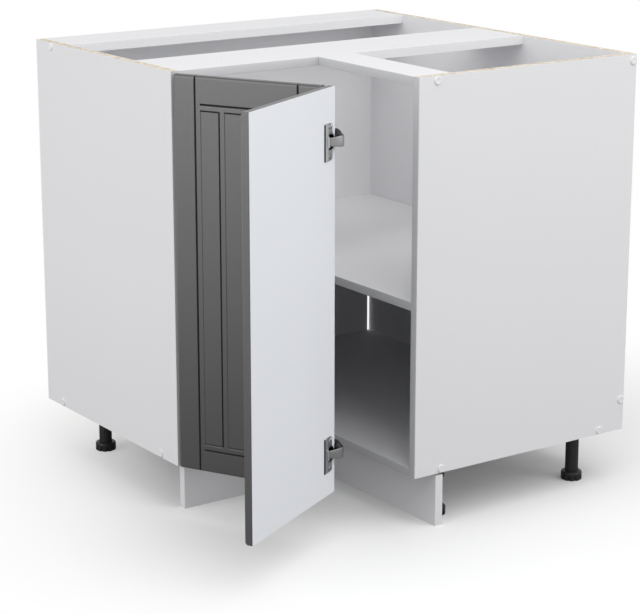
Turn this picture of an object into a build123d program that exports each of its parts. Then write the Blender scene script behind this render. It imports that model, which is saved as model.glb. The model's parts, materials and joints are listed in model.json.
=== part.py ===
from build123d import *
import math
import os

# Corner base cabinet on an L-shaped plan, with a pair of doors hinged to each other.
# Millimetres. +X runs towards the side wall, +Y towards the back wall, +Z up.
# The origin is the middle of the sole of the foot nearest the room's corner.

# Carcass boards
BACK_WALL_LENGTH = 810.0      # outer length along the back wall
SIDE_WALL_LENGTH = 800.0      # outer length along the side wall
ARM_DEPTH = 500.0             # depth of each arm of the L
CARCASS_HEIGHT = 720.0
BOARD = 16.0
BACK_BOARD = 3.0
EDGE_BAND = 0.8
BACK_RAIL_WIDTH = 110.0
LONG_RAIL_WIDTH = 150.0
SHORT_RAIL_WIDTH = 80.0

# Shelf
SHELF_TOP_RISE = 322.0        # shelf's top above the carcass's underside
SHELF_SETBACK = 2.0           # behind the front edges of the bottom
SHELF_PLAY = 0.5              # gap to each side panel
SHELF_PIN_RADIUS = 2.5
SHELF_PIN_DEPTH = 9.0         # in the panel
SHELF_PIN_REACH = 9.0         # under the shelf
SHELF_PIN_INSET = 60.0

# Open slit in the back board at the inner corner, above the bottom
SLIT_WIDTH = 7.0
SLIT_HEIGHT = 120.0

# Legs
LEG_HEIGHT = 100.0
COLUMN_RADIUS = 12.5
COLLAR_RADIUS = 16.5
COLLAR_HEIGHT = 12.0
FLANGE_RADIUS = 26.0
FLANGE_THICKNESS = 3.0
FOOT_RADIUS = 20.0
FOOT_HEIGHT = 16.5
FOOT_FLOOR = 3.0              # solid base under the foot's socket
FOOT_TRAVEL = 12.0            # levelling travel
FOOT_CHAMFER = 2.0
NOTCH_COUNT = 10
NOTCH_WIDTH = 3.0
NOTCH_DEPTH = 2.2
NOTCH_TOP = 10.0
STEM_RADIUS = 7.0
STEM_LENGTH = 50.0
SLIDING_GAP = 0.3
CORNER_LEG_INSET = 80.0       # from the two wall faces
BACK_LEG_INSET = 82.0         # left rear leg, from the left and back faces
SIDE_LEG_INSET = 54.0         # two right legs, from the right panel's outer face
RIGHT_REAR_LEG_INSET = 78.0   # from the side wall's face

# Plinth boards and their clips
PLINTH_TOP_GAP = 1.0          # below the legs' flanges
RIGHT_PLINTH_SETBACK = 48.0
LEFT_PLINTH_SETBACK = 35.0
LEFT_PLINTH_INSET = 34.0      # end of the left plinth, from the left panel's outer face
LEG_BEHIND_PLINTH = 25.0      # leg's axis behind the plinth's rear face
CLIP_HEIGHT = 10.0
CLIP_GAP = 2.0                # below the leg's collar
CLIP_WALL = 4.2
CLIP_PLATE_WIDTH = 30.0
CLIP_PLATE_THICKNESS = 2.0
CLIP_NECK_WIDTH = 12.0
CLIP_MOUTH = 18.0

# Fasteners
DRILL_PLAY = 0.1
SCREW_HEAD_RADIUS = 4.8
SCREW_HEAD_LENGTH = 3.5
SCREW_RADIUS = 2.5
SCREW_LENGTH = 50.0
SCREW_INSET = 60.0
SCREW_FROM_TOP = 12.0
CAP_RADIUS = 7.0
CAP_RISE = 2.4
DOWEL_RADIUS = 4.0
DOWEL_IN_PANEL = 11.0
DOWEL_IN_RAIL = 18.0
DOWEL_INSET = 25.0            # from the rail's long edges
NAIL_RADIUS = 0.8
NAIL_LENGTH = 25.0
NAIL_HEAD_RADIUS = 2.2
NAIL_HEAD = 0.8
NAIL_PITCH = 150.0
NAIL_INSET = 40.0
LEG_SCREW_RADIUS = 1.75
LEG_SCREW_LENGTH = 15.0
LEG_SCREW_HEAD_RADIUS = 3.5
LEG_SCREW_HEAD = 1.8
LEG_SCREW_CIRCLE = 21.0       # radius
LEG_SCREW_ANGLES = (-90, 30, 150)
WORKTOP_HOLE_RADIUS = 2.5
WORKTOP_HOLE_INSET = 150.0

# Doors
DOOR_THICKNESS = 16.0
DOOR_GAP = 3.0                # door's inner face to the carcass front
DOOR_REVEAL = 2.0             # side panel showing beside a closed door
DOOR_END_GAP = 3.0            # end of the hung door to the face of the other
DOOR_BOTTOM_REVEAL = 1.0
DOOR_TOP_REVEAL = 3.0
DOOR_LINING = 0.6
DOOR_ARRIS = 2.5
STILE = 43.0
TOP_RAIL = 49.0
BOTTOM_RAIL = 41.0
BEAD = 10.5                   # between a groove and a plank, and between planks
PLANK_COUNT = 4
PLANK_RECESS = 1.4
GROOVE_WIDTH = 3.0
GROOVE_DEPTH = 2.2
REST_OPENING = 62.0           # degrees the pair stands open

# Hinges. A cup in the door's inner face holds a pin, and the arm turns on the pin.
PIN_RADIUS = 1.25
PIN_PLAY = 0.05
PIN_LENGTH = 16.0
PIN_FROM_EDGE = 6.2           # pin's axis to the door's hinge edge
PIN_DEPTH = 8.0               # pin's axis below the door's inner face
CUP_RADIUS = 17.5
CUP_RIM = 3.0                 # cup bore to the door's hinge edge
CUP_DEPTH = 13.0
CUP_WALL = 0.7
CUP_FLOOR = 1.0
CAVITY_LENGTH = 30.0
CAVITY_WIDTH = 11.0
FLANGE_PLATE = 1.2
FLANGE_PLATE_HEIGHT = 66.0
FLANGE_PLATE_WIDTH = 26.0
FLANGE_PLATE_CORNER = 6.0
CUP_SCREW_SPACING = 50.0
CUP_BOSS_START = 12.6         # boss over the cup, from the pin along the door
CUP_BOSS_LENGTH = 14.0
CUP_BOSS_WIDTH = 19.0
CUP_BOSS_RISE = 3.6
ARM_WIDTH = 10.0
EYE_RADIUS = 2.0
HUNG_ARM = 2.0                # thickness of the side panel's hinge arm
HUNG_ARM_DROP = 2.0           # arm's middle below the pin, inside the cup
HUNG_ARM_BEND = 2.0           # chamfer of the arm's bend outside the cup
HUNG_ARM_WIDTH = 16.0         # on its plate
HUNG_ARM_REACH = 64.0         # behind the panel's front edge
HUNG_PLATE_THICKNESS = 4.0
HUNG_PLATE_HEIGHT = 52.0
HUNG_PLATE_FRONT = 20.0
HUNG_PLATE_LENGTH = 36.0
HUNG_SCREW_SPACING = 32.0
HUNG_HINGE_FROM_TOP = 100.0
HUNG_HINGE_FROM_BOTTOM = 100.0
FOLD_ARM = 2.5                # thickness of the folding hinge's strap
FOLD_ARM_RADIUS = 22.0        # strap's inner radius about the pin
FOLD_ARM_WIDTH = 19.0
FOLD_ARM_SWEEP = 130.0        # degrees of the strap's arc
FOLD_NECK = 12.5              # narrow neck from the pin to the strap's full width
FOLD_COVER_RADIUS = 11.6      # inner radius of the cover inside the strap's arc
FOLD_COVER_WIDTH = 16.0
FOLD_COVER_START = 8.0        # degrees from the neck to the cover
FOLD_PLATE_THICKNESS = 3.0
FOLD_PLATE_LENGTH = 34.0
FOLD_PLATE_HEIGHT = 52.0
FOLD_SCREW_SPACING = 36.0
FOLD_HINGE_FROM_TOP = 92.0
FOLD_HINGE_FROM_BOTTOM = 74.0
HINGE_SCREW_RADIUS = 1.75
HINGE_SCREW_LENGTH = 11.0
HINGE_SCREW_HEAD_RADIUS = 3.6
HINGE_SCREW_HEAD = 1.6

# Planes of the carcass
X_WALL = CORNER_LEG_INSET
Y_WALL = CORNER_LEG_INSET
X_LEFT = X_WALL - BACK_WALL_LENGTH
Y_RIGHT = Y_WALL - SIDE_WALL_LENGTH
X_FRONT = X_WALL - ARM_DEPTH
Y_FRONT = Y_WALL - ARM_DEPTH
Z_BASE = LEG_HEIGHT
Z_TOP = LEG_HEIGHT + CARCASS_HEIGHT
Y_BACK = Y_WALL - BACK_BOARD
X_LEFT_INNER = X_LEFT + BOARD
X_WALL_INNER = X_WALL - BOARD
Y_RIGHT_INNER = Y_RIGHT + BOARD
Z_SHELF = Z_BASE + SHELF_TOP_RISE - BOARD
Z_RAIL = Z_TOP - BOARD

# Planes and hinge pins of the doors, closed
Z_DOOR_LOW = Z_BASE + DOOR_BOTTOM_REVEAL
Z_DOOR_HIGH = Z_TOP - DOOR_TOP_REVEAL
Y_DOOR = Y_FRONT - DOOR_GAP
X_DOOR = X_FRONT - DOOR_GAP
PIN_1_X = X_LEFT + DOOR_REVEAL + PIN_FROM_EDGE
PIN_1_Y = Y_DOOR - PIN_DEPTH
PIN_2_X = X_DOOR - PIN_DEPTH
PIN_2_Y = Y_DOOR - PIN_FROM_EDGE
DOOR_1_WIDTH = X_DOOR - DOOR_THICKNESS - DOOR_END_GAP - X_LEFT - DOOR_REVEAL
DOOR_2_WIDTH = Y_DOOR - Y_RIGHT - DOOR_REVEAL
HUNG_HINGE_Z = (Z_DOOR_LOW + HUNG_HINGE_FROM_BOTTOM, Z_DOOR_HIGH - HUNG_HINGE_FROM_TOP)
FOLD_HINGE_Z = (Z_DOOR_LOW + FOLD_HINGE_FROM_BOTTOM, Z_DOOR_HIGH - FOLD_HINGE_FROM_TOP)
CUP_CENTRE = CUP_RADIUS + CUP_RIM - PIN_FROM_EDGE

STANDING = (Align.CENTER, Align.CENTER, Align.MIN)
LOW_CORNER = (Align.MIN, Align.MIN, Align.MIN)
TO_X = Vector(1, 0, 0)
TO_Y = Vector(0, 1, 0)
TO_Z = Vector(0, 0, 1)


def block(x0, x1, y0, y1, z0, z1):
    """Box between two opposite corners."""
    return Pos(x0, y0, z0) * Box(x1 - x0, y1 - y0, z1 - z0, align=LOW_CORNER)


def rod(point, direction, radius, length):
    """Cylinder that starts at a point and runs along a direction."""
    return Plane(origin=point, z_dir=direction).location * Cylinder(radius, length, align=STANDING)


def screw(point, direction, head_radius, head, radius, length, play=0.0):
    """Flush-headed screw, or with play the hole that it sits in."""
    cap = rod(point, direction, head_radius + play, head + play)
    return cap + rod(point, direction, radius + play, length + play)


def dome(point, direction, radius, rise):
    """Flat-bottomed dome standing on a face."""
    ball = (radius**2 + rise**2) / (2 * rise)
    round_top = Pos(0, 0, rise - ball) * Sphere(ball)
    cap = round_top & Cylinder(radius, rise, align=STANDING)
    return Plane(origin=point, z_dir=direction).location * cap


def outline(points):
    """Flat face inside a closed polygon."""
    return make_face(Polyline(*points, close=True))


def prism(points, z0, z1):
    """Polygon in plan, carried from one level up to another."""
    return Pos(0, 0, z0) * extrude(outline(points), z1 - z0)


def spread(low, high, pitch):
    """Places from low to high, both included, no further apart than the pitch."""
    count = max(1, math.ceil((high - low) / pitch))
    return [low + (high - low) * step / count for step in range(count + 1)]


def notched_board(z0, setback, play):
    """L-shaped board between the side panels, cut back for its front edge bands."""
    edge = setback + EDGE_BAND
    whole = block(X_LEFT_INNER + play, X_WALL_INNER - play, Y_RIGHT_INNER + play, Y_BACK, z0, z0 + BOARD)
    return whole - block(X_LEFT, X_FRONT + edge, Y_RIGHT, Y_FRONT + edge, z0, z0 + BOARD)


def notch_bands(z0, setback, play):
    """The two edge bands along the notch of an L-shaped board."""
    x0 = X_FRONT + setback
    y0 = Y_FRONT + setback
    along_x = block(X_LEFT_INNER + play, x0 + EDGE_BAND, y0, y0 + EDGE_BAND, z0, z0 + BOARD)
    along_y = block(x0, x0 + EDGE_BAND, Y_RIGHT_INNER + play, y0, z0, z0 + BOARD)
    return [along_x, along_y]


def carcass_boards():
    """Side panels, back, bottom, shelf and top rails before drilling."""
    back = block(X_LEFT, X_WALL, Y_BACK, Y_WALL, Z_BASE, Z_TOP)
    z_slit = Z_BASE + BOARD
    slit = block(X_WALL_INNER - SLIT_WIDTH, X_WALL_INNER, Y_BACK, Y_WALL, z_slit, z_slit + SLIT_HEIGHT)
    return {
        "left_side_panel": block(X_LEFT, X_LEFT_INNER, Y_FRONT + EDGE_BAND, Y_BACK, Z_BASE, Z_TOP),
        "right_side_panel": block(X_FRONT + EDGE_BAND, X_WALL, Y_RIGHT, Y_RIGHT_INNER, Z_BASE, Z_TOP),
        "corner_side_panel": block(X_WALL_INNER, X_WALL, Y_RIGHT_INNER, Y_BACK, Z_BASE, Z_TOP),
        "back_panel": back - slit,
        "bottom_panel": notched_board(Z_BASE, 0.0, 0.0),
        "shelf": notched_board(Z_SHELF, SHELF_SETBACK, SHELF_PLAY),
        "back_rail": block(X_LEFT_INNER, X_WALL_INNER, Y_BACK - BACK_RAIL_WIDTH, Y_BACK, Z_RAIL, Z_TOP),
        "long_front_rail": block(
            X_LEFT_INNER, X_WALL_INNER, Y_FRONT + EDGE_BAND, Y_FRONT + LONG_RAIL_WIDTH, Z_RAIL, Z_TOP
        ),
        "short_front_rail": block(
            X_FRONT + EDGE_BAND, X_FRONT + SHORT_RAIL_WIDTH, Y_RIGHT_INNER, Y_FRONT + EDGE_BAND, Z_RAIL, Z_TOP
        ),
    }


def edge_bands():
    """Thin strips on every front edge of the carcass."""
    left = block(X_LEFT, X_LEFT_INNER, Y_FRONT, Y_FRONT + EDGE_BAND, Z_BASE, Z_TOP)
    right = block(X_FRONT, X_FRONT + EDGE_BAND, Y_RIGHT, Y_RIGHT_INNER, Z_BASE, Z_TOP)
    bottom = notch_bands(Z_BASE, 0.0, 0.0)
    shelf = notch_bands(Z_SHELF, SHELF_SETBACK, SHELF_PLAY)
    rails = notch_bands(Z_RAIL, 0.0, 0.0)
    return [left, right] + bottom + shelf + rails


def capped_screw_places():
    """Points and directions of the connecting screws that carry a cap."""
    z_bottom = Z_BASE + BOARD / 2
    z_rail = Z_RAIL + BOARD / 2
    x_corner = X_WALL - BOARD / 2
    left = [
        (X_LEFT, Y_BACK - BACK_RAIL_WIDTH / 2, z_rail),
        (X_LEFT, Y_BACK - SCREW_INSET, z_bottom),
        (X_LEFT, Y_FRONT + SCREW_INSET, z_bottom),
    ]
    right = [
        (X_FRONT + SHORT_RAIL_WIDTH / 2, Y_RIGHT, z_rail),
        (x_corner, Y_RIGHT, Z_TOP - SCREW_FROM_TOP),
        (x_corner, Y_RIGHT, Z_BASE + SCREW_INSET),
        (X_WALL - SCREW_INSET, Y_RIGHT, z_bottom),
        (X_FRONT + SCREW_INSET, Y_RIGHT, z_bottom),
    ]
    return [(point, TO_X) for point in left] + [(point, TO_Y) for point in right]


def hidden_screw_places():
    """Connecting screws through the corner panel, which faces the wall."""
    low = Y_RIGHT_INNER + 2 * SCREW_INSET
    high = Y_BACK - SCREW_INSET
    z_bottom = Z_BASE + BOARD / 2
    return [((X_WALL, y, z_bottom), -TO_X) for y in (low, (low + high) / 2, high)]


def connecting_screw(place, play=0.0):
    """One connecting screw, or the hole for it."""
    point, direction = place
    return screw(point, direction, SCREW_HEAD_RADIUS, SCREW_HEAD_LENGTH, SCREW_RADIUS, SCREW_LENGTH, play)


def dowel_places():
    """Joint planes and directions of the dowels that hold the rails' other ends."""
    z = Z_RAIL + BOARD / 2
    long_rail = (Y_FRONT + DOWEL_INSET, Y_FRONT + LONG_RAIL_WIDTH - DOWEL_INSET)
    back_rail = (Y_BACK - BACK_RAIL_WIDTH + DOWEL_INSET, Y_BACK - DOWEL_INSET)
    short_rail = (X_FRONT + DOWEL_INSET, X_FRONT + SHORT_RAIL_WIDTH - DOWEL_INSET)
    at_left = [((X_LEFT_INNER, y, z), TO_X) for y in long_rail]
    at_corner = [((X_WALL_INNER, y, z), -TO_X) for y in long_rail + back_rail]
    at_long_rail = [((x, Y_FRONT + EDGE_BAND, z), -TO_Y) for x in short_rail]
    return at_left + at_corner + at_long_rail


def dowel(place, play=0.0):
    """One dowel across its joint plane, or the hole for it."""
    point, direction = place
    start = Vector(*point) - direction * (DOWEL_IN_PANEL + play)
    return rod(start, direction, DOWEL_RADIUS + play, DOWEL_IN_PANEL + DOWEL_IN_RAIL + 2 * play)


def nail_places():
    """Nails round the edge of the back board."""
    heights = spread(Z_BASE + NAIL_INSET, Z_TOP - NAIL_INSET, NAIL_PITCH)
    widths = spread(X_LEFT + 2 * NAIL_INSET, X_WALL - 2 * NAIL_INSET, NAIL_PITCH)
    upright = [(x, z) for x in (X_LEFT + BOARD / 2, X_WALL - BOARD / 2) for z in heights]
    level = [(x, z) for z in (Z_BASE + BOARD / 2, Z_RAIL + BOARD / 2) for x in widths]
    return [((x, Y_WALL, z), -TO_Y) for x, z in upright + level]


def nail(place, play=0.0):
    """One flush nail, or the hole for it."""
    point, direction = place
    return screw(point, direction, NAIL_HEAD_RADIUS, NAIL_HEAD, NAIL_RADIUS, NAIL_LENGTH, play)


def shelf_pin_places():
    """Starts of the shelf pins inside the panels, just under the shelf."""
    z = Z_SHELF - SHELF_PIN_RADIUS
    left = [(X_LEFT_INNER, y, z) for y in (Y_FRONT + SHELF_PIN_INSET, Y_BACK - SHELF_PIN_INSET)]
    right = [(x, Y_RIGHT_INNER, z) for x in (X_FRONT + SHELF_PIN_INSET, X_WALL_INNER - SHELF_PIN_INSET)]
    corner = [(X_WALL_INNER, y, z) for y in (Y_FRONT, Y_BACK - SHELF_PIN_INSET)]
    places = [(point, TO_X) for point in left]
    places += [(point, TO_Y) for point in right]
    return places + [(point, -TO_X) for point in corner]


def shelf_pin(place, play=0.0):
    """One round shelf pin across the panel's inner face, or the hole for it."""
    point, direction = place
    start = Vector(*point) - direction * (SHELF_PIN_DEPTH + play)
    return rod(start, direction, SHELF_PIN_RADIUS + play, SHELF_PIN_DEPTH + SHELF_PIN_REACH + play)


def worktop_hole_places():
    """Screw holes through the two long rails, for a worktop."""
    rows = (Y_FRONT + LONG_RAIL_WIDTH / 2, Y_BACK - BACK_RAIL_WIDTH / 2)
    columns = (X_LEFT + WORKTOP_HOLE_INSET, X_WALL - WORKTOP_HOLE_INSET)
    return [(x, y, Z_RAIL) for x in columns for y in rows]


def leg_places():
    """Leg axes in plan, by name."""
    left = X_LEFT + BACK_LEG_INSET
    right = Y_RIGHT + SIDE_LEG_INSET
    return {
        "corner": (X_WALL - CORNER_LEG_INSET, Y_WALL - CORNER_LEG_INSET),
        "left_rear": (left, Y_WALL - BACK_LEG_INSET),
        "left_front": (left, Y_FRONT + LEFT_PLINTH_SETBACK + BOARD + LEG_BEHIND_PLINTH),
        "right_front": (X_FRONT + RIGHT_PLINTH_SETBACK + BOARD + LEG_BEHIND_PLINTH, right),
        "right_rear": (X_WALL - RIGHT_REAR_LEG_INSET, right),
    }


def leg_screw_places(x, y):
    """The screws that hold a leg's flange under the bottom."""
    middle = Vector(x, y, Z_BASE - FLANGE_THICKNESS)
    return [(middle + Vector(LEG_SCREW_CIRCLE, 0, 0).rotate(Axis.Z, turn), TO_Z) for turn in LEG_SCREW_ANGLES]


def leg_screw(place, play=0.0):
    """One round-headed flange screw, or the hole for its shank."""
    point, direction = place
    shank = rod(point, direction, LEG_SCREW_RADIUS + play, LEG_SCREW_LENGTH + play)
    if play:
        return shank
    head = rod(point, -direction, LEG_SCREW_HEAD_RADIUS, LEG_SCREW_HEAD)
    return shank + head


def leg_socket(x, y):
    """Round flange with a collar that the column plugs into."""
    z_flange = Z_BASE - FLANGE_THICKNESS
    plate = rod((x, y, z_flange), TO_Z, FLANGE_RADIUS, FLANGE_THICKNESS)
    collar = rod((x, y, z_flange - COLLAR_HEIGHT), TO_Z, COLLAR_RADIUS, COLLAR_HEIGHT)
    hole = rod((x, y, z_flange - COLLAR_HEIGHT), TO_Z, COLUMN_RADIUS + DRILL_PLAY, COLLAR_HEIGHT)
    holes = [leg_screw(place, DRILL_PLAY) for place in leg_screw_places(x, y)]
    return plate + collar - hole - holes


def leg_column(x, y):
    """Hollow column from the flange down into the foot's socket."""
    z_low = FOOT_FLOOR + FOOT_TRAVEL + 2 * SLIDING_GAP
    z_high = Z_BASE - FLANGE_THICKNESS
    bore = STEM_LENGTH + FOOT_TRAVEL
    tube = rod((x, y, z_low), TO_Z, COLUMN_RADIUS, z_high - z_low)
    return tube - rod((x, y, z_low), TO_Z, STEM_RADIUS + SLIDING_GAP, bore)


def foot(x, y):
    """Round foot with notches to grip, a socket for the column and a stem inside it."""
    disc = rod((x, y, 0), TO_Z, FOOT_RADIUS, FOOT_HEIGHT)
    disc = chamfer(disc.edges().group_by(Axis.Z)[-1], FOOT_CHAMFER)
    socket_depth = FOOT_HEIGHT - FOOT_FLOOR
    disc -= rod((x, y, FOOT_FLOOR), TO_Z, COLUMN_RADIUS + SLIDING_GAP, socket_depth)
    for step in range(NOTCH_COUNT):
        turn = Pos(x, y, 0) * Rot(0, 0, step * 360 / NOTCH_COUNT)
        disc -= turn * Pos(FOOT_RADIUS, 0, 0) * Box(2 * NOTCH_DEPTH, NOTCH_WIDTH, 2 * NOTCH_TOP)
    return disc + rod((x, y, FOOT_FLOOR), TO_Z, STEM_RADIUS, STEM_LENGTH)


def plinths():
    """Two plinth boards that butt at the inner corner and stand on the floor."""
    z_high = Z_BASE - FLANGE_THICKNESS - PLINTH_TOP_GAP
    x_face = X_FRONT + RIGHT_PLINTH_SETBACK
    y_face = Y_FRONT + LEFT_PLINTH_SETBACK
    left = block(X_LEFT + LEFT_PLINTH_INSET, x_face, y_face, y_face + BOARD, 0, z_high)
    right = block(x_face, x_face + BOARD, Y_RIGHT, y_face + BOARD, 0, z_high)
    return left, right


def plinth_clip():
    """Sprung ring on a column with a plate on the plinth, which lies towards -Y."""
    outer = COLUMN_RADIUS + DRILL_PLAY + CLIP_WALL
    hole = Cylinder(COLUMN_RADIUS + DRILL_PLAY, CLIP_HEIGHT, align=STANDING)
    ring = Cylinder(outer, CLIP_HEIGHT, align=STANDING)
    y_plate = CLIP_PLATE_THICKNESS - LEG_BEHIND_PLINTH
    half_neck = CLIP_NECK_WIDTH / 2
    half_plate = CLIP_PLATE_WIDTH / 2
    neck = block(-half_neck, half_neck, y_plate, -COLUMN_RADIUS, 0, CLIP_HEIGHT)
    plate = block(-half_plate, half_plate, -LEG_BEHIND_PLINTH, y_plate, 0, CLIP_HEIGHT)
    mouth = block(-CLIP_MOUTH / 2, CLIP_MOUTH / 2, 0, outer, 0, CLIP_HEIGHT)
    z_low = Z_BASE - FLANGE_THICKNESS - COLLAR_HEIGHT - CLIP_GAP - CLIP_HEIGHT
    return Pos(0, 0, z_low) * (ring + neck - hole - mouth + plate)


def upright_groove(s, z0, z1):
    """V-shaped cut into a door's front, along its height."""
    front = PIN_DEPTH - DOOR_THICKNESS
    flare = GROOVE_WIDTH / 2 * (1 + 1 / GROOVE_DEPTH)
    return prism([(s - flare, front - 1), (s + flare, front - 1), (s, front + GROOVE_DEPTH)], z0, z1)


def level_groove(z, s0, s1):
    """V-shaped cut into a door's front, across its width."""
    front = PIN_DEPTH - DOOR_THICKNESS
    flare = GROOVE_WIDTH / 2 * (1 + 1 / GROOVE_DEPTH)
    across = Plane(origin=(s0, 0, 0), x_dir=(0, 1, 0), z_dir=(1, 0, 0))
    points = [(front - 1, z - flare), (front - 1, z + flare), (front + GROOVE_DEPTH, z)]
    return extrude(across * outline(points), s1 - s0)


def door_pattern(width):
    """Cuts of the front: a groove along each stile and rail, and a row of sunk planks between."""
    front = PIN_DEPTH - DOOR_THICKNESS
    left = STILE - PIN_FROM_EDGE
    right = width - STILE - PIN_FROM_EDGE
    low = Z_DOOR_LOW + BOTTOM_RAIL
    high = Z_DOOR_HIGH - TOP_RAIL
    cuts = [upright_groove(s, Z_DOOR_LOW, Z_DOOR_HIGH) for s in (left, right)]
    cuts += [level_groove(z, left + BEAD, right - BEAD) for z in (low, high)]
    pitch = (right - left - BEAD) / PLANK_COUNT
    for number in range(PLANK_COUNT):
        s0 = left + BEAD + number * pitch
        s1 = s0 + pitch - BEAD
        cuts.append(block(s0, s1, front, front + PLANK_RECESS, low + BEAD, high - BEAD))
    return cuts


def door_leaf(width, cup_heights):
    """Door board and its white lining, with the hinge pin's axis at the plan's origin.

    The door runs along +X from its hinge edge, and its inner face looks along +Y.
    """
    s0 = -PIN_FROM_EDGE
    front = PIN_DEPTH - DOOR_THICKNESS
    inner = PIN_DEPTH - DOOR_LINING
    board = block(s0, s0 + width, front, inner, Z_DOOR_LOW, Z_DOOR_HIGH)
    board = fillet(board.faces().sort_by(Axis.Y)[0].edges(), DOOR_ARRIS)
    lining = block(s0, s0 + width, inner, PIN_DEPTH, Z_DOOR_LOW, Z_DOOR_HIGH)
    for z in cup_heights:
        bore = rod((CUP_CENTRE, PIN_DEPTH, z), -TO_Y, CUP_RADIUS, CUP_DEPTH)
        board -= bore
        lining -= bore
    return board - door_pattern(width), lining


def hinge_screw(place, play=0.0):
    """One round-headed hinge screw, or the hole for its shank."""
    point, direction = place
    shank = rod(point, direction, HINGE_SCREW_RADIUS + play, HINGE_SCREW_LENGTH + play)
    if play:
        return shank
    return shank + rod(point, -direction, HINGE_SCREW_HEAD_RADIUS, HINGE_SCREW_HEAD)


def cup_screw_places(z):
    """The two screws of a cup's flange."""
    reach = CUP_SCREW_SPACING / 2
    return [((CUP_CENTRE, PIN_DEPTH + FLANGE_PLATE, z + i * reach), -TO_Y) for i in (-1, 1)]


def hinge_cup(z):
    """Cup, flange and boss, with a cavity for the arm and a hole for the pin."""
    radius = CUP_RADIUS - DRILL_PLAY
    floor = PIN_DEPTH - CUP_DEPTH + DRILL_PLAY
    body = rod((CUP_CENTRE, floor, z), TO_Y, radius, PIN_DEPTH - floor)
    plate = RectangleRounded(FLANGE_PLATE_WIDTH, FLANGE_PLATE_HEIGHT, FLANGE_PLATE_CORNER)
    face = Plane(origin=(CUP_CENTRE, PIN_DEPTH + FLANGE_PLATE, z), x_dir=(1, 0, 0), z_dir=(0, -1, 0))
    body += extrude(face * plate, FLANGE_PLATE)
    body += rod((CUP_CENTRE, PIN_DEPTH, z), TO_Y, CUP_RADIUS, FLANGE_PLATE)
    half_boss = CUP_BOSS_WIDTH / 2
    boss_end = CUP_BOSS_START + CUP_BOSS_LENGTH
    boss_top = PIN_DEPTH + FLANGE_PLATE + CUP_BOSS_RISE
    body += block(CUP_BOSS_START, boss_end, PIN_DEPTH, boss_top, z - half_boss, z + half_boss)
    low = CUP_WALL - PIN_FROM_EDGE + CUP_RIM + DRILL_PLAY
    half = CAVITY_WIDTH / 2
    body -= block(low, low + CAVITY_LENGTH, floor + CUP_FLOOR, boss_top, z - half, z + half)
    pin_hole = PIN_LENGTH + 2 * DRILL_PLAY
    body -= rod((0, 0, z - pin_hole / 2), TO_Z, PIN_RADIUS + PIN_PLAY, pin_hole)
    return body - [hinge_screw(place, DRILL_PLAY) for place in cup_screw_places(z)]


def hinge_pin(z):
    """Plain pin across the cup's cavity."""
    return rod((0, 0, z - PIN_LENGTH / 2), TO_Z, PIN_RADIUS, PIN_LENGTH)


def eye_hole(z):
    """Running hole of an arm's eye."""
    return rod((0, 0, z - ARM_WIDTH), TO_Z, PIN_RADIUS + PIN_PLAY, 2 * ARM_WIDTH)


def hung_plate_screw_places(z):
    """Screws of a hinge plate on the left panel, from the pin's axis."""
    x = X_LEFT_INNER + HUNG_PLATE_THICKNESS - PIN_1_X
    y = Y_FRONT - PIN_1_Y + HUNG_PLATE_FRONT + HUNG_PLATE_LENGTH / 2
    reach = HUNG_SCREW_SPACING / 2
    return [((x, y, z + i * reach), -TO_X) for i in (-1, 1)]


def hung_plate(z):
    """Mounting plate on the left panel's inner face."""
    x0 = X_LEFT_INNER - PIN_1_X
    y0 = Y_FRONT - PIN_1_Y + HUNG_PLATE_FRONT
    half = HUNG_PLATE_HEIGHT / 2
    plate = block(x0, x0 + HUNG_PLATE_THICKNESS, y0, y0 + HUNG_PLATE_LENGTH, z - half, z + half)
    return plate - [hinge_screw(place, DRILL_PLAY) for place in hung_plate_screw_places(z)]


def hung_arm(z):
    """Goose-necked arm from the plate, round the panel's edge, to the pin in the cup."""
    near = X_LEFT_INNER + HUNG_PLATE_THICKNESS - PIN_1_X
    far = near + HUNG_ARM
    back = Y_FRONT - PIN_1_Y + HUNG_ARM_REACH
    top = HUNG_ARM / 2 - HUNG_ARM_DROP
    low = top - HUNG_ARM
    mitre = HUNG_ARM * math.tan(math.radians(22.5))
    points = [
        (0, low),
        (near - HUNG_ARM_BEND + mitre, low),
        (far, top + HUNG_ARM_BEND - mitre),
        (far, back),
        (near, back),
        (near, top + HUNG_ARM_BEND),
        (near - HUNG_ARM_BEND, top),
        (0, top),
    ]
    half = ARM_WIDTH / 2
    arm = prism(points, z - half, z + half)
    arm += rod((0, 0, z - half), TO_Z, EYE_RADIUS, ARM_WIDTH)
    y_wide = Y_FRONT - PIN_1_Y + HUNG_PLATE_FRONT
    half_wide = HUNG_ARM_WIDTH / 2
    arm += block(near, far, y_wide, back, z - half_wide, z + half_wide)
    return arm - eye_hole(z)


def fold_plate_span():
    """Ends of the folding hinge's plate on the first door, from the pin's axis.

    The inner end is where the strap comes down on the plate.
    """
    sweep = math.radians(FOLD_ARM_SWEEP)
    drop = FOLD_ARM_RADIUS * math.sin(sweep) - PIN_FROM_EDGE - FOLD_PLATE_THICKNESS
    landing = FOLD_ARM_RADIUS * math.cos(sweep) + drop * math.tan(sweep)
    return landing - FOLD_PLATE_LENGTH, landing


def fold_plate_screw_places(z):
    """Screws of a folding hinge's plate on the first door's inner face."""
    low, high = fold_plate_span()
    reach = FOLD_SCREW_SPACING / 2
    y = PIN_FROM_EDGE + FOLD_PLATE_THICKNESS
    return [(((low + high) / 2, y, z + i * reach), -TO_Y) for i in (-1, 1)]


def fold_plate(z):
    """Plate on the first door's inner face that carries the strap."""
    low, high = fold_plate_span()
    half = FOLD_PLATE_HEIGHT / 2
    plate = block(low, high, PIN_FROM_EDGE, PIN_FROM_EDGE + FOLD_PLATE_THICKNESS, z - half, z + half)
    return plate - [hinge_screw(place, DRILL_PLAY) for place in fold_plate_screw_places(z)]


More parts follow.
